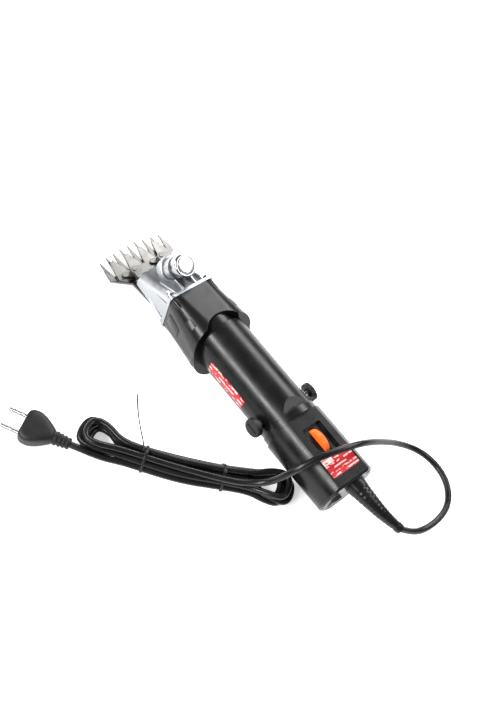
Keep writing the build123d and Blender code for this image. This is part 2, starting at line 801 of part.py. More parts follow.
with BuildPart() as drive_pinion:
    with BuildSketch(x_plane(pinion_x)):
        with Locations((0, axis_z)):
            add(gear_outline(pinion_teeth, pinion_spigot_radius, -90.0))
    extrude(amount=gear_width)
drive_pinion.part.label = "drive_pinion"
export_step(drive_pinion.part, "parts/drive_pinion.step")

with BuildPart() as crank_gear:
    with BuildSketch(x_plane(pinion_x)):
        with Locations((0, crank_z)):
            add(gear_outline(gear_teeth, crank_shaft_radius, 90.0 + 180.0 / gear_teeth))
    extrude(amount=gear_width)
crank_gear.part.label = "crank_gear"
export_step(crank_gear.part, "parts/crank_gear.step")

with BuildPart() as crank_shaft:
    with BuildSketch(x_plane(plate_x + 1.0)):
        with Locations((0, crank_z)):
            Circle(crank_shaft_radius)
    extrude(amount=crank_web_x - plate_x - 1.0)
    with BuildSketch(x_plane(crank_web_x)):
        with Locations((0, crank_z)):
            Circle(crank_throw + crank_pin_radius + 1.6)
    extrude(amount=crank_web_thickness)
    with BuildSketch(x_plane(crank_web_x + crank_web_thickness)):
        with Locations((0, crank_z + crank_throw)):
            Circle(crank_pin_radius)
    extrude(amount=roller_x + roller_length + 0.5 - crank_web_x - crank_web_thickness)
crank_shaft.part.label = "crank_shaft"
export_step(crank_shaft.part, "parts/crank_shaft.step")

with BuildPart() as crank_roller:
    with BuildSketch(x_plane(roller_x)):
        with Locations((0, crank_z + crank_throw)):
            Circle(roller_radius)
            Circle(crank_pin_radius, mode=Mode.SUBTRACT)
    extrude(amount=roller_length)
crank_roller.part.label = "crank_roller"
export_step(crank_roller.part, "parts/crank_roller.step")

with BuildPart() as crank_rear_bush:
    with BuildSketch(x_plane(plate_x)):
        with Locations((0, crank_z)):
            Circle(crank_shaft_radius + 2.5)
            Circle(crank_shaft_radius + sliding_gap, mode=Mode.SUBTRACT)
    extrude(amount=plate_thickness)
crank_rear_bush.part.label = "crank_rear_bush"
export_step(crank_rear_bush.part, "parts/crank_rear_bush.step")

with BuildPart() as crank_front_bearing:
    with BuildSketch(x_plane(flange_x - crank_chamber - wall_thickness)):
        with Locations((0, crank_z)):
            Circle(crank_bearing_radius)
            Circle(crank_shaft_radius + sliding_gap, mode=Mode.SUBTRACT)
    extrude(amount=wall_thickness)
crank_front_bearing.part.label = "crank_front_bearing"
export_step(crank_front_bearing.part, "parts/crank_front_bearing.step")

# ---------------------------------------------------------------- brush gear
holder_inner_width = 5.0
holder_inner_height = 6.0
holder_tip = commutator_radius + 2.0
cap_disc_radius = 9.8
cap_disc_start = 34.8
cap_disc_thickness = 5.0
brush_gap = 0.15
brush_length = 12.0
spring_wire = 0.35
spring_radius = 2.2
spring_turns = 6

for side, sign in (("left", 1), ("right", -1)):
    with BuildPart() as brush_holder:
        with BuildSketch(brush_plane(sign).offset(holder_tip)):
            Circle(holder_radius)
            Rectangle(holder_inner_width, holder_inner_height, mode=Mode.SUBTRACT)
        extrude(amount=cap_disc_start - holder_tip)
    brush_holder.part.label = f"{side}_brush_holder"
    export_step(brush_holder.part, f"parts/{side}_brush_holder.step")

    with BuildPart() as brush_cap:
        with BuildSketch(brush_plane(sign).offset(cap_disc_start)):
            Circle(cap_disc_radius)
        extrude(amount=cap_disc_thickness)
        fillet(brush_cap.faces().sort_by(Axis.Y)[-1 if sign > 0 else 0].edges(), 1.2)
        with BuildSketch(brush_plane(sign).offset(cap_disc_start + cap_disc_thickness - 1.4)):
            Rectangle(13.0, 1.8)
        extrude(amount=2.0, mode=Mode.SUBTRACT)
    brush_cap.part.label = f"{side}_brush_cap"
    export_step(brush_cap.part, f"parts/{side}_brush_cap.step")

    with BuildPart() as carbon_brush:
        with BuildSketch(brush_plane(sign).offset(commutator_radius + brush_gap)):
            Rectangle(holder_inner_width, holder_inner_height)
        extrude(amount=brush_length)
    carbon_brush.part.label = f"{side}_carbon_brush"
    export_step(carbon_brush.part, f"parts/{side}_carbon_brush.step")

spring_start = commutator_radius + brush_gap + brush_length
coil_step = (cap_disc_start - spring_start) / spring_turns
with BuildPart() as brush_springs:
    for side in (1, -1):
        with BuildSketch(brush_plane(side).offset(spring_start)):
            Circle(spring_radius - spring_wire)
            Circle(spring_radius - 2 * spring_wire, mode=Mode.SUBTRACT)
        extrude(amount=cap_disc_start - spring_start)
        for turn in range(spring_turns):
            with BuildSketch(brush_plane(side).offset(spring_start + turn * coil_step)):
                Circle(spring_radius)
                Circle(spring_radius - 2 * spring_wire, mode=Mode.SUBTRACT)
            extrude(amount=coil_step / 2)
brush_springs.part.label = "brush_springs"
export_step(brush_springs.part, "parts/brush_springs.step")

# ---------------------------------------------------------------- lever, feet and tension
lever_bottom = bed_top + 1.5
lever_thickness = 6.0
yoke_inner = 2 * crank_throw + roller_radius + moving_gap
yoke_wall = 2.8
yoke_rear_x = roller_x + 0.8
yoke_front_x = flange_x + 5.6
yoke_bottom = crank_z - 3.5
arm_end_x = foot_hole_x - 2.0
arm_end_y = 17.5
arm_width = 7.0
foot_pin_radius = 2.0
foot_bottom = cutter_top
foot_thickness = lever_bottom - foot_bottom
fulcrum_height = 9.0

with BuildPart() as lever:
    with BuildSketch(Plane.XY.offset(lever_bottom)):
        with Locations((fulcrum_x, 0)):
            Circle(fulcrum_radius + 5.0)
        with BuildLine():
            Polyline(
                (yoke_front_x, yoke_inner + yoke_wall),
                (fulcrum_x, fulcrum_radius + 4.5),
                (fulcrum_x + 8.0, 8.0),
                (arm_end_x - 10.0, arm_end_y + arm_width / 2 - 1.0),
                (arm_end_x, arm_end_y + arm_width / 2 - 1.0),
                (arm_end_x, arm_end_y - arm_width / 2),
                (arm_end_x - 10.0, arm_end_y - arm_width / 2),
                (fulcrum_x + 14.0, 0.0),
                (arm_end_x - 10.0, -arm_end_y + arm_width / 2),
                (arm_end_x, -arm_end_y + arm_width / 2),
                (arm_end_x, -arm_end_y - arm_width / 2 + 1.0),
                (arm_end_x - 10.0, -arm_end_y - arm_width / 2 + 1.0),
                (fulcrum_x + 8.0, -8.0),
                (fulcrum_x, -fulcrum_radius - 4.5),
                (yoke_front_x, -yoke_inner - yoke_wall),
                close=True,
            )
        make_face()
        for sign in (1, -1):
            with Locations((arm_end_x, sign * arm_end_y)):
                Circle(arm_width / 2 + 0.5)
    extrude(amount=lever_thickness)
    with BuildSketch(Plane.XY.offset(yoke_bottom)):
        for sign in (1, -1):
            with Locations(((yoke_rear_x + yoke_front_x) / 2, sign * (yoke_inner + yoke_wall / 2))):
                Rectangle(yoke_front_x - yoke_rear_x, yoke_wall)
        with Locations((yoke_front_x - 0.6, 0)):
            Rectangle(2.4, 2 * (yoke_inner + yoke_wall))
    extrude(amount=lever_bottom + lever_thickness - yoke_bottom)
    with BuildSketch(Plane.XY.offset(lever_bottom)):
        with Locations((fulcrum_x, 0)):
            Circle(fulcrum_radius + sliding_gap)
        for sign in (1, -1):
            with Locations((arm_end_x, sign * arm_end_y)):
                Circle(foot_pin_radius)
    extrude(amount=lever_thickness, mode=Mode.SUBTRACT)
lever.part.label = "lever"
export_step(lever.part, "parts/lever.step")

for side, sign in (("left", 1), ("right", -1)):
    with BuildPart() as cutter_foot:
        toes = (sign * cutter_pitch / 2, sign * cutter_pitch * 1.5)
        with BuildSketch(Plane.XY.offset(foot_bottom)):
            with BuildLine():
                Polyline(
                    (arm_end_x - 4.0, sign * (arm_end_y - 3.0)),
                    (foot_hole_x - 1.8, toes[0] - sign * 1.5),
                    (foot_hole_x + 1.8, toes[0] - sign * 1.0),
                    (arm_end_x + 3.0, sign * arm_end_y),
                    (foot_hole_x + 1.8, toes[1] + sign * 1.0),
                    (foot_hole_x - 1.8, toes[1] + sign * 1.5),
                    (arm_end_x - 4.0, sign * (arm_end_y + 3.0)),
                    close=True,
                )
            make_face()
            with Locations((arm_end_x, sign * arm_end_y)):
                Circle(arm_width / 2)
            with Locations((foot_hole_x, toes[0]), (foot_hole_x, toes[1])):
                Circle(foot_hole_radius + 0.6)
        extrude(amount=foot_thickness)
        with BuildSketch(Plane.XY.offset(cutter_bottom + 0.6)):
            with Locations((foot_hole_x, toes[0]), (foot_hole_x, toes[1])):
                Circle(foot_hole_radius)
        extrude(amount=cutter_top - cutter_bottom - 0.6)
        with BuildSketch(Plane.XY.offset(foot_bottom + foot_thickness)):
            with Locations((arm_end_x, sign * arm_end_y)):
                Circle(foot_pin_radius)
        extrude(amount=lever_bottom + lever_thickness + 0.8 - foot_bottom - foot_thickness)
    cutter_foot.part.label = f"{side}_cutter_foot"
    export_step(cutter_foot.part, f"parts/{side}_cutter_foot.step")

with BuildPart() as fulcrum_post:
    with BuildSketch(Plane.XY.offset(comb_top)):
        with Locations((fulcrum_x, 0)):
            Circle(fulcrum_radius)
    extrude(amount=lever_bottom + lever_thickness + 0.6 - comb_top)
    with BuildSketch(Plane.XY.offset(bed_top)):
        with Locations((fulcrum_x, 0)):
            Circle(fulcrum_radius + 2.0)
    extrude(amount=lever_bottom - sliding_gap - bed_top)
fulcrum_post.part.label = "fulcrum_post"
export_step(fulcrum_post.part, "parts/fulcrum_post.step")

with BuildPart() as comb_screws:
    for sign in (1, -1):
        with BuildSketch(Plane.XY.offset(comb_top - comb_thickness)):
            with Locations((comb_screw_x, sign * comb_screw_y)):
                Circle(comb_screw_radius)
        extrude(amount=comb_thickness + bed_thickness)
        with BuildSketch(Plane.XY.offset(comb_top - comb_thickness - 3.0)):
            with Locations((comb_screw_x, sign * comb_screw_y)):
                Circle(4.6)
        extrude(amount=3.0)
        with BuildSketch(Plane.XY.offset(comb_top - comb_thickness - 3.0)):
            with Locations((comb_screw_x, sign * comb_screw_y)):
                Rectangle(10.0, 1.2)
        extrude(amount=1.2, mode=Mode.SUBTRACT)
comb_screws.part.label = "comb_screws"
export_step(comb_screws.part, "parts/comb_screws.step")

pin_travel = 1.25
knob_bottom = boss_top + collar_height + sliding_gap
with BuildPart() as tension_pin:
    with BuildSketch(tension_plane.offset(-pin_reach)):
        Circle(pin_radius)
    extrude(amount=knob_bottom + 2.0 + pin_reach)
    fillet(tension_pin.edges().filter_by(GeomType.CIRCLE).sort_by(Axis.Z)[0], 2.5)
tension_pin.part.label = "tension_pin"
export_step(tension_pin.part, "parts/tension_pin.step")

with BuildPart() as tension_collar:
    with BuildSketch(tension_plane.offset(boss_top)):
        Circle(collar_radius)
        Circle(pin_radius + sliding_gap, mode=Mode.SUBTRACT)
    extrude(amount=collar_height)
tension_collar.part.label = "tension_collar"
export_step(tension_collar.part, "parts/tension_collar.step")

with BuildPart() as tension_knob:
    with BuildSketch(tension_plane.offset(knob_bottom)):
        Circle(knob_radius)
    extrude(amount=knob_height)
    fillet(tension_knob.edges().filter_by(GeomType.CIRCLE).sort_by(Axis.Z)[-1], 1.6)
    with BuildSketch(tension_plane.offset(knob_bottom)):
        Circle(pin_radius + sliding_gap)
    extrude(amount=2.0 + pin_travel + moving_gap, mode=Mode.SUBTRACT)
    with BuildSketch(tension_plane.offset(knob_bottom)):
        with PolarLocations(knob_radius + 0.5, 18):
            Circle(0.9)
    extrude(amount=knob_height - 2.0, mode=Mode.SUBTRACT)
tension_knob.part.label = "tension_knob"
export_step(tension_knob.part, "parts/tension_knob.step")

# ---------------------------------------------------------------- screws of the housings
with BuildPart() as flange_screws:
    for y in (flange_screw_y, -flange_screw_y):
        for z in (flange_screw_top_z, flange_screw_bottom_z):
            with BuildSketch(x_plane(flange_x + flange_thickness)):
                with Locations((y, z)):
                    Circle(screw_head_radius)
            extrude(amount=screw_head_height)
            with BuildSketch(x_plane(flange_x - crank_chamber)):
                with Locations((y, z)):
                    Circle(flange_screw_radius)
            extrude(amount=crank_chamber + flange_thickness)
            with BuildSketch(x_plane(flange_x + flange_thickness + 1.4)):
                with Locations((y, z)):
                    RegularPolygon(1.9, 6)
            extrude(amount=screw_head_height, mode=Mode.SUBTRACT)
flange_screws.part.label = "flange_screws"
export_step(flange_screws.part, "parts/flange_screws.step")

with BuildPart() as skirt_screws:
    for side in (1, -1):
        with BuildSketch(skirt_screw_plane(side).offset(skirt_screw_seat)):
            Circle(skirt_screw_head)
        extrude(amount=2.0)
        with BuildSketch(skirt_screw_plane(side).offset(skirt_screw_seat - skirt_screw_reach)):
            Circle(skirt_screw_radius)
        extrude(amount=skirt_screw_reach)
        with BuildSketch(skirt_screw_plane(side).offset(skirt_screw_seat + 1.0)):
            Rectangle(7.0, 0.9)
            Rectangle(0.9, 7.0)
        extrude(amount=2.0, mode=Mode.SUBTRACT)
skirt_screws.part.label = "skirt_screws"
export_step(skirt_screws.part, "parts/skirt_screws.step")

with BuildPart() as cap_screws:
    for angle in cap_screw_angles:
        with BuildSketch(x_plane(tail_end_x + 1.0)):
            with Locations((0, axis_z)):
                with PolarLocations(cap_screw_circle, 1, start_angle=angle):
                    Circle(cap_screw_head)
        extrude(amount=cap_thickness - 1.0)
        with BuildSketch(x_plane(tail_cap_x)):
            with Locations((0, axis_z)):
                with PolarLocations(cap_screw_circle, 1, start_angle=angle):
                    Circle(cap_screw_radius)
        extrude(amount=cap_boss_length - 2.0)
        with BuildSketch(x_plane(tail_end_x + 1.0)):
            with Locations((0, axis_z)):
                with PolarLocations(cap_screw_circle, 1, start_angle=angle):
                    Rectangle(6.0, 0.8)
                    Rectangle(0.8, 6.0)
        extrude(amount=0.8, mode=Mode.SUBTRACT)
cap_screws.part.label = "cap_screws"
export_step(cap_screws.part, "parts/cap_screws.step")

# ---------------------------------------------------------------- speed control and switch
axle_radius = 2.0
axle_length = 17.0
board_thickness = 1.6
board_z = axis_z - 9.0
board_front_x = tail_step_x - 8.0
board_rear_x = tail_cap_x + 10.0
board_width = 44.0
post_width = 3.0
post_length = 9.0
post_inner_y = dial_width / 2 + 1.0

with BuildPart() as speed_dial:
    with BuildSketch(Plane.XZ.offset(-dial_width / 2)):
        with Locations((dial_x, dial_z)):
            Circle(dial_radius)
            Circle(axle_radius, mode=Mode.SUBTRACT)
    extrude(amount=dial_width)
    with BuildSketch(Plane.XZ.offset(-dial_width / 2)):
        with Locations((dial_x, dial_z)):
            with PolarLocations(dial_radius + 0.2, 30):
                Circle(0.55)
    extrude(amount=dial_width, mode=Mode.SUBTRACT)
speed_dial.part.label = "speed_dial"
export_step(speed_dial.part, "parts/speed_dial.step")

with BuildPart() as dial_axle:
    with BuildSketch(Plane.XZ.offset(-axle_length / 2)):
        with Locations((dial_x, dial_z)):
            Circle(axle_radius)
    extrude(amount=axle_length)
dial_axle.part.label = "dial_axle"
export_step(dial_axle.part, "parts/dial_axle.step")

with BuildPart() as dial_bracket:
    for side in (1, -1):
        with BuildSketch(Plane.XY.offset(board_z + board_thickness)):
            with Locations((dial_x, side * (post_inner_y + post_width / 2))):
                Rectangle(post_length, post_width)
        extrude(amount=dial_z + 3.5 - board_z - board_thickness)
    with BuildSketch(Plane.XZ.offset(-axis_z)):
        with Locations((dial_x, dial_z)):
            Circle(axle_radius + sliding_gap)
    extrude(amount=2 * axis_z, mode=Mode.SUBTRACT)
dial_bracket.part.label = "dial_bracket"
export_step(dial_bracket.part, "parts/dial_bracket.step")

with BuildPart() as control_board:
    with BuildSketch(Plane.XY.offset(board_z)):
        with Locations(((board_front_x + board_rear_x) / 2, 0)):
            Rectangle(board_front_x - board_rear_x, board_width)
    extrude(amount=board_thickness)
    with BuildSketch(Plane.XY.offset(board_z + board_thickness)):
        with Locations((board_front_x - 8.0, 10.0)):
            Rectangle(10.0, 14.0)
        with Locations((board_front_x - 9.0, -11.0)):
            Circle(5.0)
    extrude(amount=11.0)
    with BuildSketch(Plane.XY.offset(board_z + board_thickness)):
        with Locations((dial_x, 14.0)):
            Rectangle(12.0, 7.0)
        with Locations((dial_x, -14.0)):
            Rectangle(15.0, 8.0)
    extrude(amount=7.0)
control_board.part.label = "control_board"
export_step(control_board.part, "parts/control_board.step")

rocker_pivot_x = tail_end_x + 3.2
switch_depth = 14.0

with BuildPart() as switch_body:
    with BuildSketch(x_plane(tail_end_x)):
        with Locations((rocker_y, rocker_z)):
            Rectangle(rocker_width + 4.0, rocker_height + 4.0)
    extrude(amount=switch_depth)
    with BuildSketch(x_plane(tail_end_x)):
        with Locations((rocker_y, rocker_z)):
            Rectangle(rocker_width + 2 * moving_gap, rocker_height + 2 * moving_gap)
    extrude(amount=7.5, mode=Mode.SUBTRACT)
    with BuildSketch(Plane.XZ):
        with Locations((rocker_pivot_x, rocker_z)):
            Circle(1.2 + sliding_gap)
    extrude(amount=-(rocker_y + rocker_width / 2 + 1.5), mode=Mode.SUBTRACT)
switch_body.part.label = "switch_body"
export_step(switch_body.part, "parts/switch_body.step")

with BuildPart() as rocker:
    with BuildSketch(Plane.XZ.offset(-(rocker_y + rocker_width / 2))):
        with BuildLine():
            Polyline(
                (tail_end_x + 4.8, rocker_z - rocker_height / 2 + 0.8),
                (tail_end_x - 0.6, rocker_z - rocker_height / 2 + 0.5),
                (tail_end_x - 1.0, rocker_z),
                (tail_end_x - 3.2, rocker_z + rocker_height / 2 - 0.9),
                (tail_end_x + 2.2, rocker_z + rocker_height / 2 - 0.2),
                (tail_end_x + 4.8, rocker_z),
                close=True,
            )
        make_face()
    extrude(amount=rocker_width)
    with BuildSketch(Plane.XZ.offset(-(rocker_y + rocker_width / 2 + 1.3))):
        with Locations((rocker_pivot_x, rocker_z)):
            Circle(1.2)
    extrude(amount=rocker_width + 2.6)
rocker.part.label = "rocker"
export_step(rocker.part, "parts/rocker.step")

# ---------------------------------------------------------------- labels
label_thickness = 0.3
side_label_front_x = flange_x - 72.5
side_label_length = 52.0
side_label_low = axis_z - 4.6
side_label_high = axis_z + 8.2
rating_front_x = flange_x - 217.0
rating_length = 21.5
rating_width = 33.6

with BuildPart() as side_label:
    with BuildSketch(x_plane(side_label_front_x - side_label_length)):
        with Locations((0, axis_z)):
            Circle(body_radius + label_thickness)
            Circle(body_radius, mode=Mode.SUBTRACT)
        with Locations((body_radius, (side_label_low + side_label_high) / 2)):
            Rectangle(body_radius, side_label_high - side_label_low, mode=Mode.INTERSECT)
    extrude(amount=side_label_length)
side_label.part.label = "side_label"
export_step(side_label.part, "parts/side_label.step")

panel_slope = (panel_front_z - panel_rear_z) / (tail_step_x - tail_end_x)
rating_mid_x = rating_front_x - rating_length / 2
panel_plane = Plane(
    origin=(rating_mid_x, 0, panel_rear_z + panel_slope * (rating_mid_x - tail_end_x)),
    x_dir=(1, 0, panel_slope),
    z_dir=(-panel_slope, 0, 1),
)
with BuildPart() as rating_label:
    with BuildSketch(panel_plane):
        RectangleRounded(rating_length, rating_width, 1.2)
    extrude(amount=label_thickness)
rating_label.part.label = "rating_label"
export_step(rating_label.part, "parts/rating_label.step")

# ---------------------------------------------------------------- cord sleeve
cord_radius = 3.25
relief_start = (tail_end_x, relief_y, relief_z)
relief_end = (-232.6, -24.8, 20.0)
relief_path_points = [
    relief_start,
    (tail_end_x - 20.0, relief_y - 1.2, relief_z - 0.8),
    (tail_end_x - 41.0, relief_y - 7.0, relief_z - 8.0),
    relief_end,
]
relief_radii = [relief_base_radius, 8.4, 6.4, relief_tip_radius]

cord_points = [
    relief_end,
    (-239.5, -35.5, 12.5),
    (-244.5, -48.5, 5.5),
    (-246.8, -63.5, 3.5),
    (-246.2, -79.5, 3.4),
    (-241.4, -95.0, 3.4),
    (-230.6, -107.3, 3.4),
    (-215.9, -114.6, 3.6),
    (-199.5, -115.4, 5.0),
    (-184.0, -109.0, 9.5),
    (-172.0, -96.0, 17.5),
    (-164.0, -79.0, 29.5),
    (-159.0, -59.5, 44.5),
    (-155.0, -38.5, 60.0),
    (-151.0, -16.5, 71.5),
    (-142.5, 15.5, 71.0),
    (-137.0, 38.0, 60.5),
    (-131.5, 50.0, 42.5),
    (-125.0, 58.5, 26.5),
    (-116.0, 69.0, 18.0),
    (-103.0, 86.0, 12.5),
]

relief_directions = []
for index, point in enumerate(relief_path_points):
    before = Vector(relief_path_points[max(index - 1, 0)])
    after = Vector(relief_path_points[min(index + 1, len(relief_path_points) - 1)])
    relief_directions.append(after - before)
relief_directions[0] = Vector(-1, 0, 0)
relief_directions[-1] = Vector(cord_points[1]) - Vector(cord_points[0])

with BuildPart() as strain_relief:
    for point, direction, radius in zip(relief_path_points, relief_directions, relief_radii):
        with BuildSketch(Plane(origin=point, x_dir=(0, 0, 1), z_dir=direction)):
            Circle(radius)
    loft()
    with BuildSketch(Plane(origin=relief_start, z_dir=(1, 0, 0))):
        Circle(relief_base_radius - 3.0)
    extrude(amount=cap_thickness)
strain_relief.part.label = "strain_relief"
export_step(strain_relief.part, "parts/strain_relief.step")

with BuildPart() as cord_clamp:
    with BuildSketch(x_plane(tail_cap_x)):
        with Locations((relief_y, relief_z)):
            Rectangle(20.0, 9.0)
            Circle(cord_radius, mode=Mode.SUBTRACT)
    extrude(amount=6.0)
cord_clamp.part.label = "cord_clamp"
export_step(cord_clamp.part, "parts/cord_clamp.step")

with BuildPart() as mains_lead:
    with BuildSketch(x_plane(tail_cap_x)):
        with Locations((relief_y, relief_z)):
            Circle(cord_radius)
    extrude(amount=9.0)
mains_lead.part.label = "mains_lead"
export_step(mains_lead.part, "parts/mains_lead.step")


def corner_radii(points):
    """The radius of the arc at each inner point: as large as its two runs allow."""
    radii = []
    for before, point, after in zip(points, points[1:], points[2:]):
        incoming = Vector(point) - Vector(before)
        outgoing = Vector(after) - Vector(point)
        turn = incoming.get_angle(outgoing)
        shorter = min(incoming.length, outgoing.length)
        radii.append(0.45 * shorter / tan(radians(turn) / 2))
    return radii


def cord_tube(points):
    """A plain tube along straight runs joined by tangent arcs."""
    radii = corner_radii(points)
    print("cord bends", [round(radius) for radius in radii])
    with BuildPart() as tube:
        with BuildLine() as route:
            FilletPolyline(*points, radius=radii)
        with BuildSketch(Plane(origin=points[0], z_dir=Vector(points[1]) - Vector(points[0]))):
            Circle(cord_radius)
        sweep(path=route.wire())
    length = route.wire().length
    print("cord length", round(length), "volume share", round(tube.part.volume / (pi * cord_radius**2 * length), 4))
    return tube.part


with BuildPart() as cord_tail_run:
    add(cord_tube(cord_points))
cord_tail_run.part.label = "cord_tail_run"
export_step(cord_tail_run.part, "parts/cord_tail_run.step")

# ---------------------------------------------------------------- plug
plug_angle = 31.0
plug_z = 9.0
plug_end = Vector(14.6, 183.7, plug_z)
plug_axis = Vector(cos(radians(plug_angle)), sin(radians(plug_angle)), 0)
plug_relief_length = 18.0
plug_shoulder = 43.5
plug_face = 47.5
pin_seat = 8.0
pin_tip_chamfer = 0.8
plug_width = 34.0
plug_thickness = 17.0
pin_spacing = 19.0
plug_pin_radius = 2.4
plug_pin_length = 19.0
plug_plane = Plane(origin=plug_end, x_dir=(-sin(radians(plug_angle)), cos(radians(plug_angle)), 0), z_dir=plug_axis)
plug_flat = Plane(origin=plug_end, x_dir=plug_axis, z_dir=(0, 0, 1))

with BuildPart() as plug_body:
    with BuildSketch(plug_flat.offset(-plug_thickness / 2)):
        with BuildLine():
            Polyline(
                (plug_relief_length, 7.5),
                (plug_relief_length + 3.0, 8.5),
                (plug_shoulder - 9.0, plug_width / 2 - 0.8),
                (plug_shoulder - 7.0, plug_width / 2),
                (plug_shoulder, plug_width / 2),
                (plug_face, plug_width / 2 - 4.0),
                (plug_face, -plug_width / 2 + 4.0),
                (plug_shoulder, -plug_width / 2),
                (plug_shoulder - 7.0, -plug_width / 2),
                (plug_shoulder - 9.0, -plug_width / 2 + 0.8),
                (plug_relief_length + 3.0, -8.5),
                (plug_relief_length, -7.5),
                close=True,
            )
        make_face()
    extrude(amount=plug_thickness)
    fillet(plug_body.faces().sort_by(Axis.Z)[-1].edges(), 1.8)
    fillet(plug_body.faces().sort_by(Axis.Z)[0].edges(), 1.8)
    with BuildSketch(plug_plane):
        Circle(5.6)
    with BuildSketch(plug_plane.offset(plug_relief_length)):
        Circle(7.2)
    loft()
    with BuildSketch(plug_plane.offset(plug_face - pin_seat)):
        with Locations((pin_spacing / 2, 0), (-pin_spacing / 2, 0)):
            Circle(plug_pin_radius - 0.4)
    extrude(amount=pin_seat, mode=Mode.SUBTRACT)
plug_body.part.label = "plug_body"
export_step(plug_body.part, "parts/plug_body.step")

with BuildPart() as plug_pins:
    with BuildSketch(plug_plane.offset(plug_face)):
        with Locations((pin_spacing / 2, 0), (-pin_spacing / 2, 0)):
            Circle(plug_pin_radius)
    extrude(amount=plug_pin_length)
    tips = plug_pins.faces().filter_by(GeomType.PLANE).sort_by(lambda face: (face.center() - plug_end).dot(plug_axis))
    chamfer([edge for tip in tips[-2:] for edge in tip.edges()], pin_tip_chamfer)
    with BuildSketch(plug_plane.offset(plug_face - pin_seat)):
        with Locations((pin_spacing / 2, 0), (-pin_spacing / 2, 0)):
            Circle(plug_pin_radius - 0.4)
    extrude(amount=pin_seat)
plug_pins.part.label = "plug_pins"
export_step(plug_pins.part, "parts/plug_pins.step")

plug_cord_points = [
    tuple(plug_end),
    tuple(plug_end - 11.0 * plug_axis),
    (-5.0, 171.0, 7.5),
    (-15.0, 162.0, 6.5),
    (-26.0, 151.0, 7.5),
]
with BuildPart() as cord_plug_run:
    add(cord_tube(plug_cord_points))
cord_plug_run.part.label = "cord_plug_run"
export_step(cord_plug_run.part, "parts/cord_plug_run.step")

# ---------------------------------------------------------------- hank
hank_top = 16.0
hank_chamfer = 3.5
tie_thickness = 0.8
tie_width = 3.0
tie_spots = (
    # middle of each tie, its heading across the hank, and its span
    ((-34.0, 132.0), 129.0, 34.0),
    ((-90.5, 80.5), 138.0, 36.0),
)
hank_points = [
    (20.0, 162.0),
    (8.0, 169.0),
    (-8.0, 165.5),
    (-30.0, 149.0),
    (-62.0, 127.0),
    (-84.0, 107.0),
    (-100.0, 89.0),
    (-129.0, 68.0),
    (-142.0, 54.0),
    (-146.0, 40.0),
    (-139.0, 34.0),
    (-124.0, 34.0),
    (-108.0, 40.0),
    (-84.0, 70.0),
    (-65.0, 89.0),
    (-45.0, 108.0),
    (-22.0, 126.0),
    (-4.0, 133.0),
    (10.0, 143.0),
    (21.0, 152.0),
]
with BuildPart() as cord_hank:
    with BuildSketch(Plane.XY.offset(tie_thickness)):
        with BuildLine():
            Polyline(*hank_points, close=True)
        make_face()
    extrude(amount=hank_top - tie_thickness)
    chamfer(cord_hank.faces().sort_by(Axis.Z)[-1].edges(), hank_chamfer)
    chamfer(cord_hank.faces().sort_by(Axis.Z)[0].edges(), hank_chamfer)
    add(cord_tail_run.part, mode=Mode.SUBTRACT)
    add(cord_plug_run.part, mode=Mode.SUBTRACT)
cord_hank.part.label = "cord_hank"
export_step(cord_hank.part, "parts/cord_hank.step")

with BuildPart() as hank_ties:
    for middle, heading, span in tie_spots:
        across = Plane(
            origin=(middle[0], middle[1], (hank_top + tie_thickness) / 2),
            x_dir=(cos(radians(heading)), sin(radians(heading)), 0),
            z_dir=(sin(radians(heading)), -cos(radians(heading)), 0),
        )
        with BuildSketch(across):
            Rectangle(span, hank_top + tie_thickness)
        extrude(amount=tie_width / 2, both=True)
    add(cord_hank.part, mode=Mode.SUBTRACT)
hank_ties.part.label = "hank_ties"
export_step(hank_ties.part, "parts/hank_ties.step")
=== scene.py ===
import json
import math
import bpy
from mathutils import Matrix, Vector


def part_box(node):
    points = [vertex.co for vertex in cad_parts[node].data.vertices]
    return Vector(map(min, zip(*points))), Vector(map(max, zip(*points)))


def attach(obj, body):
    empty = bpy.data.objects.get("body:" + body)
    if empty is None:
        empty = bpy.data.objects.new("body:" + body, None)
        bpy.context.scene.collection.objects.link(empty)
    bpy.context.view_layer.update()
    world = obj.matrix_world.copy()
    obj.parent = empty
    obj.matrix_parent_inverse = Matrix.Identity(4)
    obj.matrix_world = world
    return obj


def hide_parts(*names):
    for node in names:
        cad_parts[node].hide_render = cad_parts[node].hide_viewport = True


bl_info = {
    "name": "Sheep Shears",
    "version": (1, 0, 0),
    "blender": (4, 5, 0),
    "location": "View3D > Sidebar > Shears",
    "description": "Finishes, cord, plug and fine detail for a pair of electric sheep shears",
    "category": "Object",
}

import bmesh
import bpy
from bpy.props import FloatProperty, FloatVectorProperty, PointerProperty
from mathutils import Matrix, Vector

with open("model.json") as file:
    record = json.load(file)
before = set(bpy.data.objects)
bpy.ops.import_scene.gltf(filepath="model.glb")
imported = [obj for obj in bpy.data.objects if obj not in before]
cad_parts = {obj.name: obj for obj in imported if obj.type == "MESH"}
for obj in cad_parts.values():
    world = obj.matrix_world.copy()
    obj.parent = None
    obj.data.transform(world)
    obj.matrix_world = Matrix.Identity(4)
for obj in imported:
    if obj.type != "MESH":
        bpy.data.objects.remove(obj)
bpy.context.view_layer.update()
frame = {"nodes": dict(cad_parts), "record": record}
nodes = frame["nodes"]

MM = 0.001
AXIS_Z = 0.032                      # body axis above the surface
FLANGE_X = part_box("head_casting")[0][0]


class ShearsSizes(bpy.types.PropertyGroup):
    """Sizes of the pieces that are finished here."""

    cord_diameter: FloatProperty(
        name="Cord diameter", description="Outside of the rubber sheath", default=0.0065, unit="LENGTH"
    )
    cord_length: FloatProperty(
        name="Cord length", description="From the sleeve to the plug", default=2.3, unit="LENGTH"
    )
    tie_thickness: FloatProperty(
        name="Tie thickness", description="Of the straps round the hank", default=0.0009, unit="LENGTH"
    )
    edge_rounding: FloatProperty(
        name="Edge rounding", description="How far every finish softens its edges", default=0.0007, unit="LENGTH"
    )


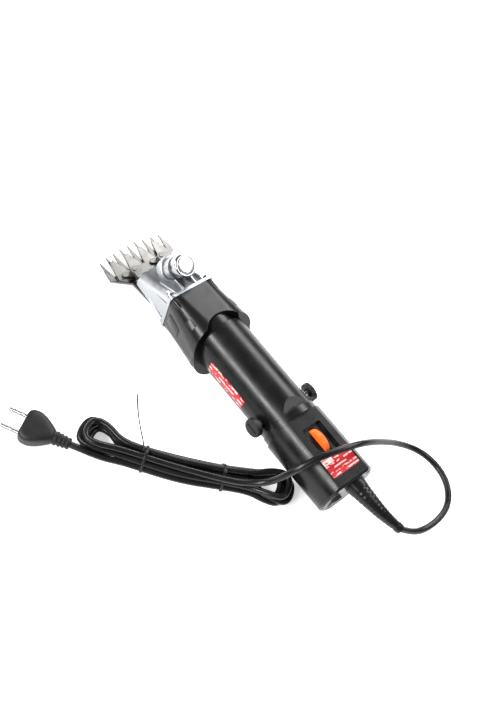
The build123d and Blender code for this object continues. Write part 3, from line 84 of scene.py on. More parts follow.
class ShearsColours(bpy.types.PropertyGroup):
    """Colours a user would change."""

    nylon: FloatVectorProperty(
        name="Housing",
        description="Moulded housings and handle",
        subtype="COLOR",
        size=3,
        default=(0.0028, 0.0028, 0.0031),
    )
    rubber: FloatVectorProperty(
        name="Cord", description="Rubber sheath of the cord", subtype="COLOR", size=3, default=(0.0045, 0.0045, 0.005)
    )
    casting: FloatVectorProperty(
        name="Casting", description="Cast head", subtype="COLOR", size=3, default=(0.36, 0.37, 0.385)
    )
    steel: FloatVectorProperty(
        name="Blades", description="Comb and cutter", subtype="COLOR", size=3, default=(0.12, 0.118, 0.113)
    )
    dial: FloatVectorProperty(
        name="Dial", description="Thumb wheel", subtype="COLOR", size=3, default=(0.90, 0.13, 0.012)
    )
    label: FloatVectorProperty(
        name="Labels",
        description="Ground colour of the labels",
        subtype="COLOR",
        size=3,
        default=(0.42, 0.008, 0.014),
    )


# ---------------------------------------------------------------- finishes

made_finishes = {}


def finish(name, colour, tone, roughness, metallic=0.0, grain=900.0, grain_depth=0.02, blotch=35.0, specular=0.26):
    """A surface with a fine grain, a slow change of tone, uneven gloss and softened edges.

    tone is how far the colour swings each way, roughness the lowest and highest value, and grain_depth is in mm.
    """
    if name in made_finishes:
        return made_finishes[name]
    material = bpy.data.materials.new(name)
    made_finishes[name] = material
    material.use_nodes = True
    tree = material.node_tree
    shader = tree.nodes["Principled BSDF"]
    shader.inputs["Metallic"].default_value = metallic
    shader.inputs["Specular IOR Level"].default_value = 0.5 if metallic else specular
    place = tree.nodes.new("ShaderNodeTexCoord")
    place.name = "place"
    slow = tree.nodes.new("ShaderNodeTexNoise")
    slow.inputs["Scale"].default_value = blotch
    slow.inputs["Detail"].default_value = 6.0
    tree.links.new(place.outputs["Object"], slow.inputs["Vector"])
    fine = tree.nodes.new("ShaderNodeTexNoise")
    fine.name = "fine grain"
    fine.inputs["Scale"].default_value = grain
    fine.inputs["Detail"].default_value = 4.0
    tree.links.new(place.outputs["Object"], fine.inputs["Vector"])
    ramp = tree.nodes.new("ShaderNodeValToRGB")
    ramp.color_ramp.elements[0].position = 0.3
    ramp.color_ramp.elements[1].position = 0.7
    ramp.color_ramp.elements[0].color = tuple(max(0.0, c * (1.0 - tone)) for c in colour) + (1.0,)
    ramp.color_ramp.elements[1].color = tuple(min(1.0, c * (1.0 + tone)) for c in colour) + (1.0,)
    tree.links.new(slow.outputs["Fac"], ramp.inputs["Fac"])
    tree.links.new(ramp.outputs["Color"], shader.inputs["Base Color"])
    gloss = tree.nodes.new("ShaderNodeMapRange")
    gloss.inputs["From Min"].default_value = 0.3
    gloss.inputs["From Max"].default_value = 0.7
    gloss.inputs["To Min"].default_value = roughness[0]
    gloss.inputs["To Max"].default_value = roughness[1]
    tree.links.new(slow.outputs["Fac"], gloss.inputs["Value"])
    tree.links.new(gloss.outputs["Result"], shader.inputs["Roughness"])
    bump = tree.nodes.new("ShaderNodeBump")
    bump.inputs["Strength"].default_value = 0.35
    bump.inputs["Distance"].default_value = grain_depth * MM
    tree.links.new(fine.outputs["Fac"], bump.inputs["Height"])
    edges = tree.nodes.new("ShaderNodeBevel")
    edges.samples = 6
    edges.inputs["Radius"].default_value = bpy.context.scene.shears_sizes.edge_rounding
    tree.links.new(edges.outputs["Normal"], bump.inputs["Normal"])
    tree.links.new(bump.outputs["Normal"], shader.inputs["Normal"])
    return material


def black_nylon():
    colour = bpy.context.scene.shears_colours.nylon
    return finish("black_nylon", colour, 0.25, (0.24, 0.34), grain=1400.0, grain_depth=0.035, blotch=60.0)


def black_trim():
    colour = (0.005, 0.005, 0.0053)
    return finish("black_trim", colour, 0.25, (0.38, 0.52), grain=1700.0, grain_depth=0.04, blotch=80.0)


def cast_alloy():
    colour = bpy.context.scene.shears_colours.casting
    return finish(
        "cast_alloy", colour, 0.06, (0.30, 0.42), metallic=1.0, grain=1500.0, grain_depth=0.03, blotch=120.0
    )


def bright_knob():
    colour = (0.30, 0.30, 0.31)
    return finish(
        "bright_knob", colour, 0.03, (0.12, 0.2), metallic=1.0, grain=2500.0, grain_depth=0.004, blotch=90.0
    )


def blade_steel():
    """Ground steel: fine lines along the teeth."""
    colour = bpy.context.scene.shears_colours.steel
    material = finish(
        "blade_steel", colour, 0.18, (0.22, 0.4), metallic=1.0, grain=600.0, grain_depth=0.012, blotch=140.0
    )
    tree = material.node_tree
    if "stretch" not in tree.nodes:
        place = tree.nodes["place"]
        stretch = tree.nodes.new("ShaderNodeMapping")
        stretch.name = "stretch"
        stretch.inputs["Scale"].default_value = (0.15, 3.0, 1.0)
        fine = tree.nodes["fine grain"]
        tree.links.new(place.outputs["Object"], stretch.inputs["Vector"])
        tree.links.new(stretch.outputs["Vector"], fine.inputs["Vector"])
    return material


def machined_steel():
    colour = (0.56, 0.56, 0.57)
    return finish(
        "machined_steel", colour, 0.06, (0.2, 0.32), metallic=1.0, grain=1800.0, grain_depth=0.006, blotch=150.0
    )


def cord_rubber():
    colour = bpy.context.scene.shears_colours.rubber
    return finish("cord_rubber", colour, 0.25, (0.22, 0.34), grain=1500.0, grain_depth=0.02, blotch=90.0)


def dial_plastic():
    colour = bpy.context.scene.shears_colours.dial
    return finish("dial_plastic", colour, 0.12, (0.32, 0.45), grain=1200.0, grain_depth=0.02, blotch=120.0)


PLAIN = {
    "bush_bronze": ((0.55, 0.36, 0.14), 0.1, (0.25, 0.4), 1.0),
    "laminations": ((0.25, 0.25, 0.27), 0.2, (0.35, 0.5), 1.0),
    "copper_winding": ((0.52, 0.19, 0.07), 0.25, (0.25, 0.4), 1.0),
    "inner_plastic": ((0.03, 0.035, 0.03), 0.2, (0.4, 0.55), 0.0),
    "carbon": ((0.02, 0.02, 0.02), 0.2, (0.55, 0.7), 0.0),
    "gear_aluminium": ((0.6, 0.6, 0.61), 0.06, (0.3, 0.45), 1.0),
    "plug_nickel": ((0.30, 0.29, 0.28), 0.08, (0.2, 0.3), 1.0),
}


def plain(name):
    colour, tone, roughness, metallic = PLAIN[name]
    return finish(name, colour, tone, roughness, metallic=metallic)


def label_print(name, across, row_height, start, stretch, white_from):
    """A printed label: red ground, rows of pale dashes that spell nothing, and a white block.

    across is the axis that the rows follow one another on; white_from gives the block's two lowest sides.
    """
    if name in made_finishes:
        return made_finishes[name]
    ground = tuple(bpy.context.scene.shears_colours.label)
    material = finish(name, ground, 0.06, (0.3, 0.42), grain=900.0, grain_depth=0.006, blotch=200.0, specular=0.3)
    tree = material.node_tree
    shader = tree.nodes["Principled BSDF"]
    base = shader.inputs["Base Color"].links[0].from_socket
    place = tree.nodes["place"]
    apart = tree.nodes.new("ShaderNodeSeparateXYZ")
    tree.links.new(place.outputs["Object"], apart.inputs["Vector"])

    def step(operation, first, second):
        node = tree.nodes.new("ShaderNodeMath")
        node.operation = operation
        for socket, value in zip(node.inputs, (first, second)):
            if isinstance(value, float):
                socket.default_value = value
            elif value is not None:
                tree.links.new(value, socket)
        return node.outputs[0]

    from_start = step("SUBTRACT", apart.outputs[across], start)
    row = step("FRACT", step("DIVIDE", from_start, row_height), None)
    line = step("MULTIPLY", step("GREATER_THAN", row, 0.28), step("LESS_THAN", row, 0.72))
    stretched = tree.nodes.new("ShaderNodeMapping")
    stretched.inputs["Scale"].default_value = stretch
    tree.links.new(place.outputs["Object"], stretched.inputs["Vector"])
    dashes = tree.nodes.new("ShaderNodeTexNoise")
    dashes.inputs["Scale"].default_value = 700.0
    dashes.inputs["Detail"].default_value = 1.0
    tree.links.new(stretched.outputs["Vector"], dashes.inputs["Vector"])
    marks = step("MULTIPLY", step("MULTIPLY", line, step("GREATER_THAN", dashes.outputs["Fac"], 0.51)), 0.8)
    if white_from:
        beyond_x = step("GREATER_THAN", apart.outputs["X"], white_from[0])
        beyond_y = step("GREATER_THAN", apart.outputs["Y"], white_from[1])
        block = step("MULTIPLY", beyond_x, beyond_y)
        marks = step("ABSOLUTE", step("SUBTRACT", step("MULTIPLY", block, 0.95), marks), None)
    mix = tree.nodes.new("ShaderNodeMix")
    mix.data_type = "RGBA"
    mix.inputs["B"].default_value = (0.66, 0.56, 0.53, 1.0)
    tree.links.new(marks, mix.inputs["Factor"])
    tree.links.new(base, mix.inputs["A"])
    tree.links.new(mix.outputs["Result"], shader.inputs["Base Color"])
    return material


def side_print():
    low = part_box("side_label")[0]
    return label_print("side_print", "Z", 0.0052, low[2] - 0.0012, (0.3, 1.0, 0.6), None)


def rating_print():
    low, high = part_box("rating_label")
    return label_print("rating_print", "X", 0.0036, low[0], (0.6, 0.28, 1.0), (high[0] - 0.0075, high[1] - 0.012))


# ---------------------------------------------------------------- mesh helpers


def piece(name, body, material, replaced=()):
    """An empty mesh object that rides on a body; close_up() fills it."""
    mesh = bpy.data.meshes.new(name)
    obj = bpy.data.objects.new(name, mesh)
    bpy.context.scene.collection.objects.link(obj)
    mesh.materials.append(material)
    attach(obj, body)
    if replaced:
        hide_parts(*replaced)
    return obj


def close_up(bm, obj, smooth_angle=35.0):
    """Merges doubles, turns faces outwards, and stores the mesh with smooth faces and sharp edges."""
    bmesh.ops.remove_doubles(bm, verts=bm.verts[:], dist=1e-6)
    bmesh.ops.recalc_face_normals(bm, faces=bm.faces[:])
    for face in bm.faces:
        face.smooth = True
    limit = math.radians(smooth_angle)
    for edge in bm.edges:
        edge.smooth = len(edge.link_faces) == 2 and edge.calc_face_angle(0.0) < limit
    bm.to_mesh(obj.data)
    bm.free()
    obj.data.update()


def standing(across, over, along, origin):
    """A matrix with the given X, Y and Z directions at a place."""
    columns = Matrix((across, over, along)).transposed().to_4x4()
    return Matrix.Translation(origin) @ columns


def frame_at(origin, along):
    """A matrix whose Z runs along, for shapes drawn about their own axis."""
    along = Vector(along).normalized()
    across = Vector((0.0, 0.0, 1.0)).cross(along).normalized()
    return standing(across, along.cross(across), along, origin)


def ring(bm, centre, along, radii, segments=32):
    """The edges of an ellipse about centre, square to along."""
    place = frame_at(centre, along) @ Matrix.Diagonal((radii[0], radii[1], 1.0, 1.0))
    made = bmesh.ops.create_circle(bm, segments=segments, radius=1.0, matrix=place)
    return list({edge for vert in made["verts"] for edge in vert.link_edges})


def line_direction(line, index):
    """Which way a line of points runs at one of them."""
    return line[min(index + 1, len(line) - 1)] - line[max(index - 1, 0)]


def soften(bm, verts, offset, segments):
    """Rounds every edge that meets the given vertices."""
    edges = list({edge for vert in verts for edge in vert.link_edges})
    bmesh.ops.bevel(bm, geom=edges, offset=offset, segments=segments, affect="EDGES", profile=0.5, material=-1)


def in_metres(points):
    """Points given in mm."""
    return [tuple(number * MM for number in point) for point in points]


def made_verts(result):
    """The vertices among what an operator made."""
    return [item for item in result["geom"] if isinstance(item, bmesh.types.BMVert)]


def made_rim(result):
    """The open edges among what an operator made."""
    edges = [item for item in result["geom"] if isinstance(item, bmesh.types.BMEdge)]
    return [edge for edge in edges if len(edge.link_faces) == 1]


def skin(bm, rings, cap_start=True, cap_end=True):
    """Joins rings one after another, and closes the two ends."""
    for first, second in zip(rings, rings[1:]):
        bmesh.ops.bridge_loops(bm, edges=first + second)
    if cap_start:
        bmesh.ops.contextual_create(bm, geom=rings[0])
    if cap_end:
        bmesh.ops.contextual_create(bm, geom=rings[-1])


def turned(bm, profile, place, steps=64):
    """Spins a profile of (radius, height) points about the Z of place."""
    earlier = set(bm.verts)
    verts = [bm.verts.new((radius, 0.0, height)) for radius, height in profile]
    edges = [bm.edges.new(pair) for pair in zip(verts, verts[1:])]
    bmesh.ops.spin(
        bm,
        geom=verts + edges,
        cent=(0.0, 0.0, 0.0),
        axis=(0.0, 0.0, 1.0),
        angle=math.tau,
        steps=steps,
        use_merge=True,
    )
    bmesh.ops.transform(bm, matrix=place, verts=[vert for vert in bm.verts if vert not in earlier])


# ---------------------------------------------------------------- places and sizes of the pieces, in mm

# the route from the sleeve to the hank
CORD_RUN = [
    (-232.6, -24.8, 20.0),
    (-239.5, -35.5, 12.5),
    (-244.5, -48.5, 5.5),
    (-246.8, -63.5, 3.5),
    (-246.2, -79.5, 3.4),
    (-241.4, -95.0, 3.4),
    (-230.6, -107.3, 3.4),
    (-215.9, -114.6, 3.6),
    (-199.5, -115.4, 5.0),
    (-184.0, -109.0, 9.5),
    (-172.0, -96.0, 17.5),
    (-164.0, -79.0, 29.5),
    (-159.0, -59.5, 44.5),
    (-155.0, -38.5, 60.0),
    (-151.0, -16.5, 71.5),
    (-142.5, 15.5, 71.0),
    (-137.0, 38.0, 60.5),
    (-131.5, 50.0, 42.5),
    (-125.0, 58.5, 28.0),
    (-115.0, 68.0, 21.0),
    (-102.0, 82.0, 18.5),
]
PLUG_RUN = [
    (-26.0, 151.0, 4.5),
    (-15.0, 162.0, 5.0),
    (-5.0, 171.0, 7.5),
    (5.17, 178.03, 9.0),
    (14.6, 183.7, 9.0),
]
# the middle line of the hank, from the plug's end to the tail's end
HANK_SPINE = [
    (6.0, 156.0),
    (-12.0, 147.0),
    (-34.0, 131.5),
    (-62.0, 109.0),
    (-90.5, 80.0),
    (-110.0, 59.0),
    (-128.0, 45.0),
]
# each strand's place in the bundle: to the side of the middle line, and up
STRANDS = [
    (3.4, 14.6),
    (-3.4, 14.8),
    (7.2, 9.0),
    (-6.8, 9.2),
    (0.2, 8.8),
    (-3.3, 3.3),
    (3.3, 3.3),
    (-9.9, 3.3),
    (9.8, 3.4),
]
# the straps hold the bundle at these stations of its middle line; elsewhere it is looser
TIED_STATIONS = (2, 4)
LOOSENESS = 1.12
STRAND_WANDER = 0.5
FOLD_RUN = 16.0                     # from where a fold leaves the bundle to its tip
# each fold: how far past the last station, half its width, and its height
PLUG_END_FOLDS = [(13.0, 11.5, 17.0), (18.0, 13.5, 11.0), (8.0, 10.5, 7.0), (14.0, 13.5, 3.4)]
TAIL_END_FOLDS = [(12.0, 13.0, 16.0), (5.0, 12.0, 10.0), (17.0, 12.5, 6.5), (10.0, 14.5, 3.4)]

# the straps hug the strands: to the side of the middle line, and up
STRAP_OUTLINE = [
    (13.0, 1.0), (13.6, 4.0), (12.4, 7.0), (10.8, 10.6), (8.0, 15.4), (5.6, 17.8), (3.0, 18.1), (-3.0, 18.3),
    (-5.8, 17.6), (-8.2, 14.6), (-10.6, 10.6), (-12.6, 7.0), (-13.6, 4.0), (-13.0, 1.0), (-10.0, 0.1), (10.0, 0.1),
]
STRAP_HALF_WIDTH = 1.3
STRAP_MIDDLE = 8.0                  # height that the outline grows away from
STRAP_INSIDE = 0.93                 # size of the inner face, as a share of the outer one
STRAP_LOCK = (4.8, 3.6, 2.6)
STRAP_LOCK_HEIGHT = 19.6
WIRE_END = [
    (-33.0, 132.5, 19.6), (-32.0, 134.0, 21.5), (-29.0, 132.0, 22.5), (-22.0, 127.0, 19.0),
    (-10.0, 119.0, 11.0), (2.0, 111.0, 4.5), (14.0, 103.0, 1.4), (27.0, 94.0, 0.9),
]
WIRE_RADIUS = 0.7

SLEEVE_PATH = [
    (-175.0, -8.0, 38.0), (-184.0, -8.2, 38.0), (-195.0, -9.2, 37.2), (-216.0, -15.0, 30.0), (-232.6, -24.8, 20.0),
]
SLEEVE_RADII = (11.0, 4.6)          # at the tail, and at the cord
SLEEVE_RIB_PITCH = 4.2
SLEEVE_RIB_DEPTH = 0.35
SLEEVE_LIP = 0.5

PLUG_END = (14.6, 183.7, 9.0)
PLUG_AXIS = (math.cos(math.radians(31.0)), math.sin(math.radians(31.0)), 0.0)
# distance along the plug, half its width and half its depth
PLUG_SECTIONS = [
    (0.0, 5.0, 5.0), (0.8, 5.7, 5.7), (2.6, 5.8, 5.8), (3.0, 5.1, 5.1), (4.4, 5.2, 5.2), (4.8, 6.1, 6.1),
    (6.6, 6.2, 6.2), (7.0, 5.4, 5.4), (8.4, 5.5, 5.5), (8.8, 6.5, 6.5), (10.6, 6.6, 6.6), (11.0, 5.8, 5.8),
    (12.4, 5.9, 5.9), (12.8, 6.9, 6.9), (14.8, 7.1, 7.0), (15.2, 6.3, 6.3), (16.8, 6.5, 6.5), (17.4, 7.6, 7.2),
    (19.0, 8.4, 7.9), (22.0, 10.2, 8.3), (28.0, 13.4, 8.5), (33.0, 15.8, 8.5), (36.0, 16.8, 8.5), (39.5, 17.0, 8.5),
    (43.0, 16.6, 8.4), (45.6, 15.4, 8.0), (47.0, 13.9, 7.2), (47.5, 13.0, 6.6),
]
PLUG_SQUARE_FROM = 17.0             # the round neck ends here and the slab begins
PLUG_SQUARE_OVER = 10.0             # length that the change takes
PLUG_SQUARENESS = 0.62              # 0 leaves a section round, and nearer 1 squares it

BOSS_FOOT = (122.5, 0.0, 25.0)
KNOB_AXIS = (-math.sin(math.radians(32.0)), 0.0, math.cos(math.radians(32.0)))
BOSS_STEP = [(11.4, 24.0), (13.4, 24.0), (13.4, 30.6), (12.8, 31.2), (11.4, 31.2), (11.4, 24.0)]
KNOB_PROFILE = [
    (4.3, 47.05), (11.2, 47.05), (11.9, 47.55), (12.2, 48.25), (12.2, 57.1), (11.9, 58.1),
    (11.0, 58.8), (10.2, 59.0), (9.2, 58.75), (8.8, 58.65), (3.0, 58.7), (0.0, 58.7),
]
WEB_FOOT_X = FLANGE_X / MM + 3.0    # the webs start inside the flange
# the webs of the +Y side, mirrored for the other: corners, which way the thickness goes, and how much
WEBS = [
    ([(WEB_FOOT_X, 9.0, 50.0), (WEB_FOOT_X, 9.0, 55.5), (92.0, 9.0, 55.5), (97.0, 9.0, 47.0)], "inwards", 2.2),
    (
        [
            (WEB_FOOT_X, 18.0, 50.0), (WEB_FOOT_X, 18.0, 55.5), (83.0, 18.0, 54.8),
            (103.0, 18.0, 44.8), (101.0, 18.0, 42.0),
        ],
        "inwards",
        2.4,
    ),
    (
        [
            (WEB_FOOT_X, 23.5, 12.0), (WEB_FOOT_X, 26.5, 12.0), (90.0, 26.0, 14.0),
            (112.0, 24.8, 18.0), (112.0, 23.0, 18.0),
        ],
        "up",
        2.4,
    ),
    (
        [
            (WEB_FOOT_X, 23.5, 38.0), (WEB_FOOT_X, 26.5, 38.0), (88.0, 25.8, 36.0),
            (110.0, 24.6, 30.0), (110.0, 23.0, 30.0),
        ],
        "up",
        2.4,
    ),
]
# the rings at the handle's front end: station, inner and outer radius, width
RIM_RINGS = [(24.0, 26.2, 27.6, 1.6), (20.6, 26.2, 27.2, 1.0)]
RIM_ROUNDING = 0.3
# the pads of the +Y side, mirrored for the other: place, facing, size, lift, and the top's share of the foot
PADS = [
    ((42.0, 25.6, 52.4), (0.10, 0.62, 0.78), (14.0, 9.0), 2.2, 0.8),
    ((64.0, 21.6, 53.9), (0.10, 0.62, 0.78), (16.0, 2.2), 1.2, 0.7),
    ((60.0, 29.6, 30.0), (0.17, 1.0, 0.0), (22.0, 14.0), 1.0, 0.9),
]
PAD_SUNK = 2.0                      # depth of a pad inside the wall
# across the thumb wheel's rim: share of the width, and how far it is turned down
WHEEL_RIM = [(-0.5, 1.2), (-0.46, 0.6), (-0.38, 0.0), (0.38, 0.0), (0.46, 0.6), (0.5, 1.2)]
WHEEL_LINES = 144
WHEEL_KNURL = 0.6                   # depth of the pressed lines
WHEEL_BORE = 2.3                    # radius


def hank_side(index):
    """Unit vector across the hank at a station of its middle line."""
    before = HANK_SPINE[max(index - 1, 0)]
    after = HANK_SPINE[min(index + 1, len(HANK_SPINE) - 1)]
    run = Vector((after[0] - before[0], after[1] - before[1])).normalized()
    return Vector((run.y, -run.x))


def hank_point(index, side, height, ahead=0.0):
    """A point beside a station; ahead carries it past the end of the middle line."""
    at = Vector(HANK_SPINE[index])
    across = hank_side(index)
    onward = Vector((-across.y, across.x))
    spot = at + across * side + onward * ahead
    return (spot.x, spot.y, height)


def hank_turns():
    """The strands of the hank in the order the cord runs through them."""
    last = len(HANK_SPINE) - 1
    points = []
    for strand, (side, height) in enumerate(STRANDS):
        towards_plug = strand % 2 == 0
        order = range(last - 1, 0, -1) if towards_plug else range(1, last)
        for index in order:
            if strand == 0 and index >= last - 2:
                continue
            if strand == len(STRANDS) - 1 and index <= 2:
                continue
            loose = STRAND_WANDER * math.sin(2.1 * index + 1.7 * strand)
            tied = index in TIED_STATIONS
            points.append(hank_point(index, side if tied else side * LOOSENESS + loose, height))
        if strand == len(STRANDS) - 1:
            break
        fold = strand // 2
        reach, half, level = (PLUG_END_FOLDS if towards_plug else TAIL_END_FOLDS)[fold]
        end = 0 if towards_plug else last
        sign = -1.0 if towards_plug else 1.0
        start_side = 1.0 if side > STRANDS[strand + 1][0] else -1.0
        points.append(hank_point(end, start_side * half, level, sign * (reach - FOLD_RUN)))
        points.append(hank_point(end, start_side * half * 0.95, level, sign * reach))
        points.append(hank_point(end, -start_side * half * 0.95, level, sign * reach))
        points.append(hank_point(end, -start_side * half, level, sign * (reach - FOLD_RUN)))
    return points


def cord_route():
    """Every point of the cord, in metres, from the sleeve to the plug."""
    return in_metres(CORD_RUN + hank_turns() + PLUG_RUN)


def centreline(obj):
    """The points of a curve object's smooth line."""
    bevel = obj.data.bevel_depth
    obj.data.bevel_depth = 0.0
    bpy.context.view_layer.update()
    mesh = bpy.data.meshes.new_from_object(obj.evaluated_get(bpy.context.evaluated_depsgraph_get()))
    points = [vert.co.copy() for vert in mesh.vertices]
    bpy.data.meshes.remove(mesh)
    obj.data.bevel_depth = bevel
    return points


def smooth_curve(name, points, closeness):
    """A smooth open line with the given control points, in metres."""
    curve = bpy.data.curves.new(name, "CURVE")
    curve.dimensions = "3D"
    spline = curve.splines.new("NURBS")
    spline.points.add(len(points) - 1)
    for point, place in zip(spline.points, points):
        point.co = (*place, 1.0)
    spline.use_endpoint_u = True
    spline.order_u = 3
    spline.resolution_u = closeness
    obj = bpy.data.objects.new(name, curve)
    bpy.context.scene.collection.objects.link(obj)
    return obj


class SHEARS_OT_cord(bpy.types.Operator):
    """The mains cord: tail run, hank and plug run in one spline"""

    bl_idname = "shears.cord"
    bl_label = "Cord"

    def execute(self, context):
        sizes = context.scene.shears_sizes
        route_line = smooth_curve("cord_route", cord_route(), 8)
        route_line.data.bevel_depth = sizes.cord_diameter / 2
        route_line.data.bevel_resolution = 5
        route_line.data.use_fill_caps = True
        line = centreline(route_line)
        context.view_layer.update()
        shown = route_line.evaluated_get(context.evaluated_depsgraph_get())
        mesh = bpy.data.meshes.new_from_object(shown)
        bpy.data.objects.remove(route_line)
        cord = piece(
            "cord",
            "shears_body",
            cord_rubber(),
            replaced=["cord_tail_run", "cord_hank", "cord_plug_run"],
        )
        bm = bmesh.new()
        bm.from_mesh(mesh)
        bpy.data.meshes.remove(mesh)
        close_up(bm, cord, 60.0)
        length = sum((b - a).length for a, b in zip(line, line[1:]))
        print("cord length", round(length, 4))
        return {"FINISHED"}


# ---------------------------------------------------------------- small pieces


class SHEARS_OT_ties(bpy.types.Operator):
    """Two straps round the hank, the first with its long wire end"""

    bl_idname = "shears.ties"
    bl_label = "Hank ties"

    def execute(self, context):
        thickness = context.scene.shears_sizes.tie_thickness
        obj = piece("hank_straps", "shears_body", black_trim(), replaced=["hank_ties"])
        bm = bmesh.new()
        for station in TIED_STATIONS:
            place = Vector(HANK_SPINE[station])
            across = hank_side(station)
            onward = Vector((-across.y, across.x))
            rings = []
            for shift in (-1.0, -0.6, 0.6, 1.0):
                grow = thickness if abs(shift) < 1.0 else thickness * 0.6
                verts = []
                for side, height in STRAP_OUTLINE:
                    out = Vector((side, height - STRAP_MIDDLE)).normalized() * grow / MM
                    spot = place + across * (side + out.x) + onward * (shift * STRAP_HALF_WIDTH)
                    verts.append(bm.verts.new((spot.x * MM, spot.y * MM, max(height + out.y, 0.05) * MM)))
                rings.append([bm.edges.new(pair) for pair in zip(verts, verts[1:] + verts[:1])])
            for first, second in zip(rings, rings[1:]):
                bmesh.ops.bridge_loops(bm, edges=first + second)
            inner = bmesh.ops.extrude_edge_only(bm, edges=rings[0] + rings[-1])
            centre = Vector((place.x * MM, place.y * MM, STRAP_MIDDLE * MM))
            bmesh.ops.scale(
                bm,
                verts=made_verts(inner),
                vec=(STRAP_INSIDE, STRAP_INSIDE, STRAP_INSIDE),
                space=Matrix.Translation(-centre),
            )
            bmesh.ops.bridge_loops(bm, edges=made_rim(inner))
            lock = bmesh.ops.create_cube(bm, size=1.0)["verts"]
            top = place + across * 1.5
            turn = Matrix.Rotation(math.atan2(across.y, across.x), 4, "Z")
            there = Matrix.Translation((top.x * MM, top.y * MM, STRAP_LOCK_HEIGHT * MM))
            scale = Matrix.Diagonal((*(size * MM for size in STRAP_LOCK), 1.0))
            bmesh.ops.transform(bm, verts=lock, matrix=there @ turn @ scale)
            soften(bm, lock, 0.0006, 2)
        line = [Vector(point) * MM for point in WIRE_END]
        wire = [
            ring(bm, point, line_direction(line, index), (WIRE_RADIUS * MM, WIRE_RADIUS * MM), segments=10)
            for index, point in enumerate(line)
        ]
        skin(bm, wire)
        close_up(bm, obj)
        return {"FINISHED"}


class SHEARS_OT_cord_sleeve(bpy.types.Operator):
    """The tapered rubber sleeve where the cord leaves the tail"""

    bl_idname = "shears.cord_sleeve"
    bl_label = "Cord sleeve"

    def execute(self, context):
        obj = piece("cord_sleeve", "shears_body", cord_rubber(), replaced=["strain_relief"])
        guide = smooth_curve("sleeve_guide", in_metres(SLEEVE_PATH), 16)
        line = centreline(guide)
        bpy.data.curves.remove(guide.data)
        total = sum((b - a).length for a, b in zip(line, line[1:]))
        bm = bmesh.new()
        rings = []
        run = 0.0
        for index, point in enumerate(line):
            if index:
                run += (point - line[index - 1]).length
            share = run / total
            along = line_direction(line, index) if index else Vector((-1.0, 0.0, 0.0))
            radius = SLEEVE_RADII[0] + (SLEEVE_RADII[1] - SLEEVE_RADII[0]) * share ** 0.8
            if 0.12 < share < 0.9:
                turns = share * total / (SLEEVE_RIB_PITCH * MM)
                radius -= SLEEVE_RIB_DEPTH * (0.5 - 0.5 * math.cos(turns * math.tau))
            if share > 0.93:
                radius += SLEEVE_LIP
            rings.append(ring(bm, point, along, (radius * MM, radius * MM), segments=40))
        skin(bm, rings)
        close_up(bm, obj, 50.0)
        return {"FINISHED"}


class SHEARS_OT_plug(bpy.types.Operator):
    """The flat plug body with its ribbed neck"""

    bl_idname = "shears.plug"
    bl_label = "Plug"

    def execute(self, context):
        obj = piece("plug_shell", "shears_body", black_trim(), replaced=["plug_body"])
        place = frame_at(Vector(PLUG_END) * MM, PLUG_AXIS)
        bm = bmesh.new()
        rings = []
        for along, half_width, half_depth in PLUG_SECTIONS:
            centre = place @ Vector((0.0, 0.0, along * MM))
            rings.append(ring(bm, centre, PLUG_AXIS, (half_width * MM, half_depth * MM), segments=48))
        skin(bm, rings)
        # square the round sections towards a flat slab
        for vert in bm.verts:
            local = place.inverted() @ vert.co
            share = min(max((local.z / MM - PLUG_SQUARE_FROM) / PLUG_SQUARE_OVER, 0.0), 1.0)
            if share > 0.0:
                row = min(PLUG_SECTIONS, key=lambda entry: abs(entry[0] * MM - local.z))
                half_width, half_depth = row[1] * MM, row[2] * MM
                sideways, upwards = local.x / half_width, local.y / half_depth
                power = 1.0 - PLUG_SQUARENESS * share
                length = (abs(sideways) ** (2 / power) + abs(upwards) ** (2 / power)) ** (power / 2)
                if length > 1e-6:
                    squared = (sideways / length * half_width, upwards / length * half_depth, local.z)
                    vert.co = place @ Vector(squared)
        close_up(bm, obj, 40.0)
        return {"FINISHED"}


class SHEARS_OT_head_detail(bpy.types.Operator):
    """Webs and boss step of the cast head, and the tension knob"""

    bl_idname = "shears.head_detail"
    bl_label = "Head detail"

    def execute(self, context):
        webs = piece("head_webs", "shears_body", cast_alloy())
        bm = bmesh.new()
        for side in (-1.0, 1.0):
            ways = {"inwards": Vector((0.0, -side, 0.0)), "up": Vector((0.0, 0.0, 1.0))}
            for corners, way, thickness in WEBS:
                verts = [bm.verts.new(Vector((x, side * y, z)) * MM) for x, y, z in corners]
                made = bmesh.ops.extrude_face_region(bm, geom=[bm.faces.new(verts)])
                top = made_verts(made)
                bmesh.ops.translate(bm, verts=top, vec=ways[way] * thickness * MM)
                soften(bm, verts + top, 0.0006, 2)
        boss = frame_at(Vector(BOSS_FOOT) * MM, KNOB_AXIS)
        turned(bm, in_metres(BOSS_STEP), boss)
        close_up(bm, webs, 40.0)

        knob = piece("knob_shell", "pressure_knob", bright_knob(), replaced=["tension_knob"])
        bm = bmesh.new()
        turned(bm, in_metres(KNOB_PROFILE), boss, steps=96)
        close_up(bm, knob, 40.0)
        return {"FINISHED"}


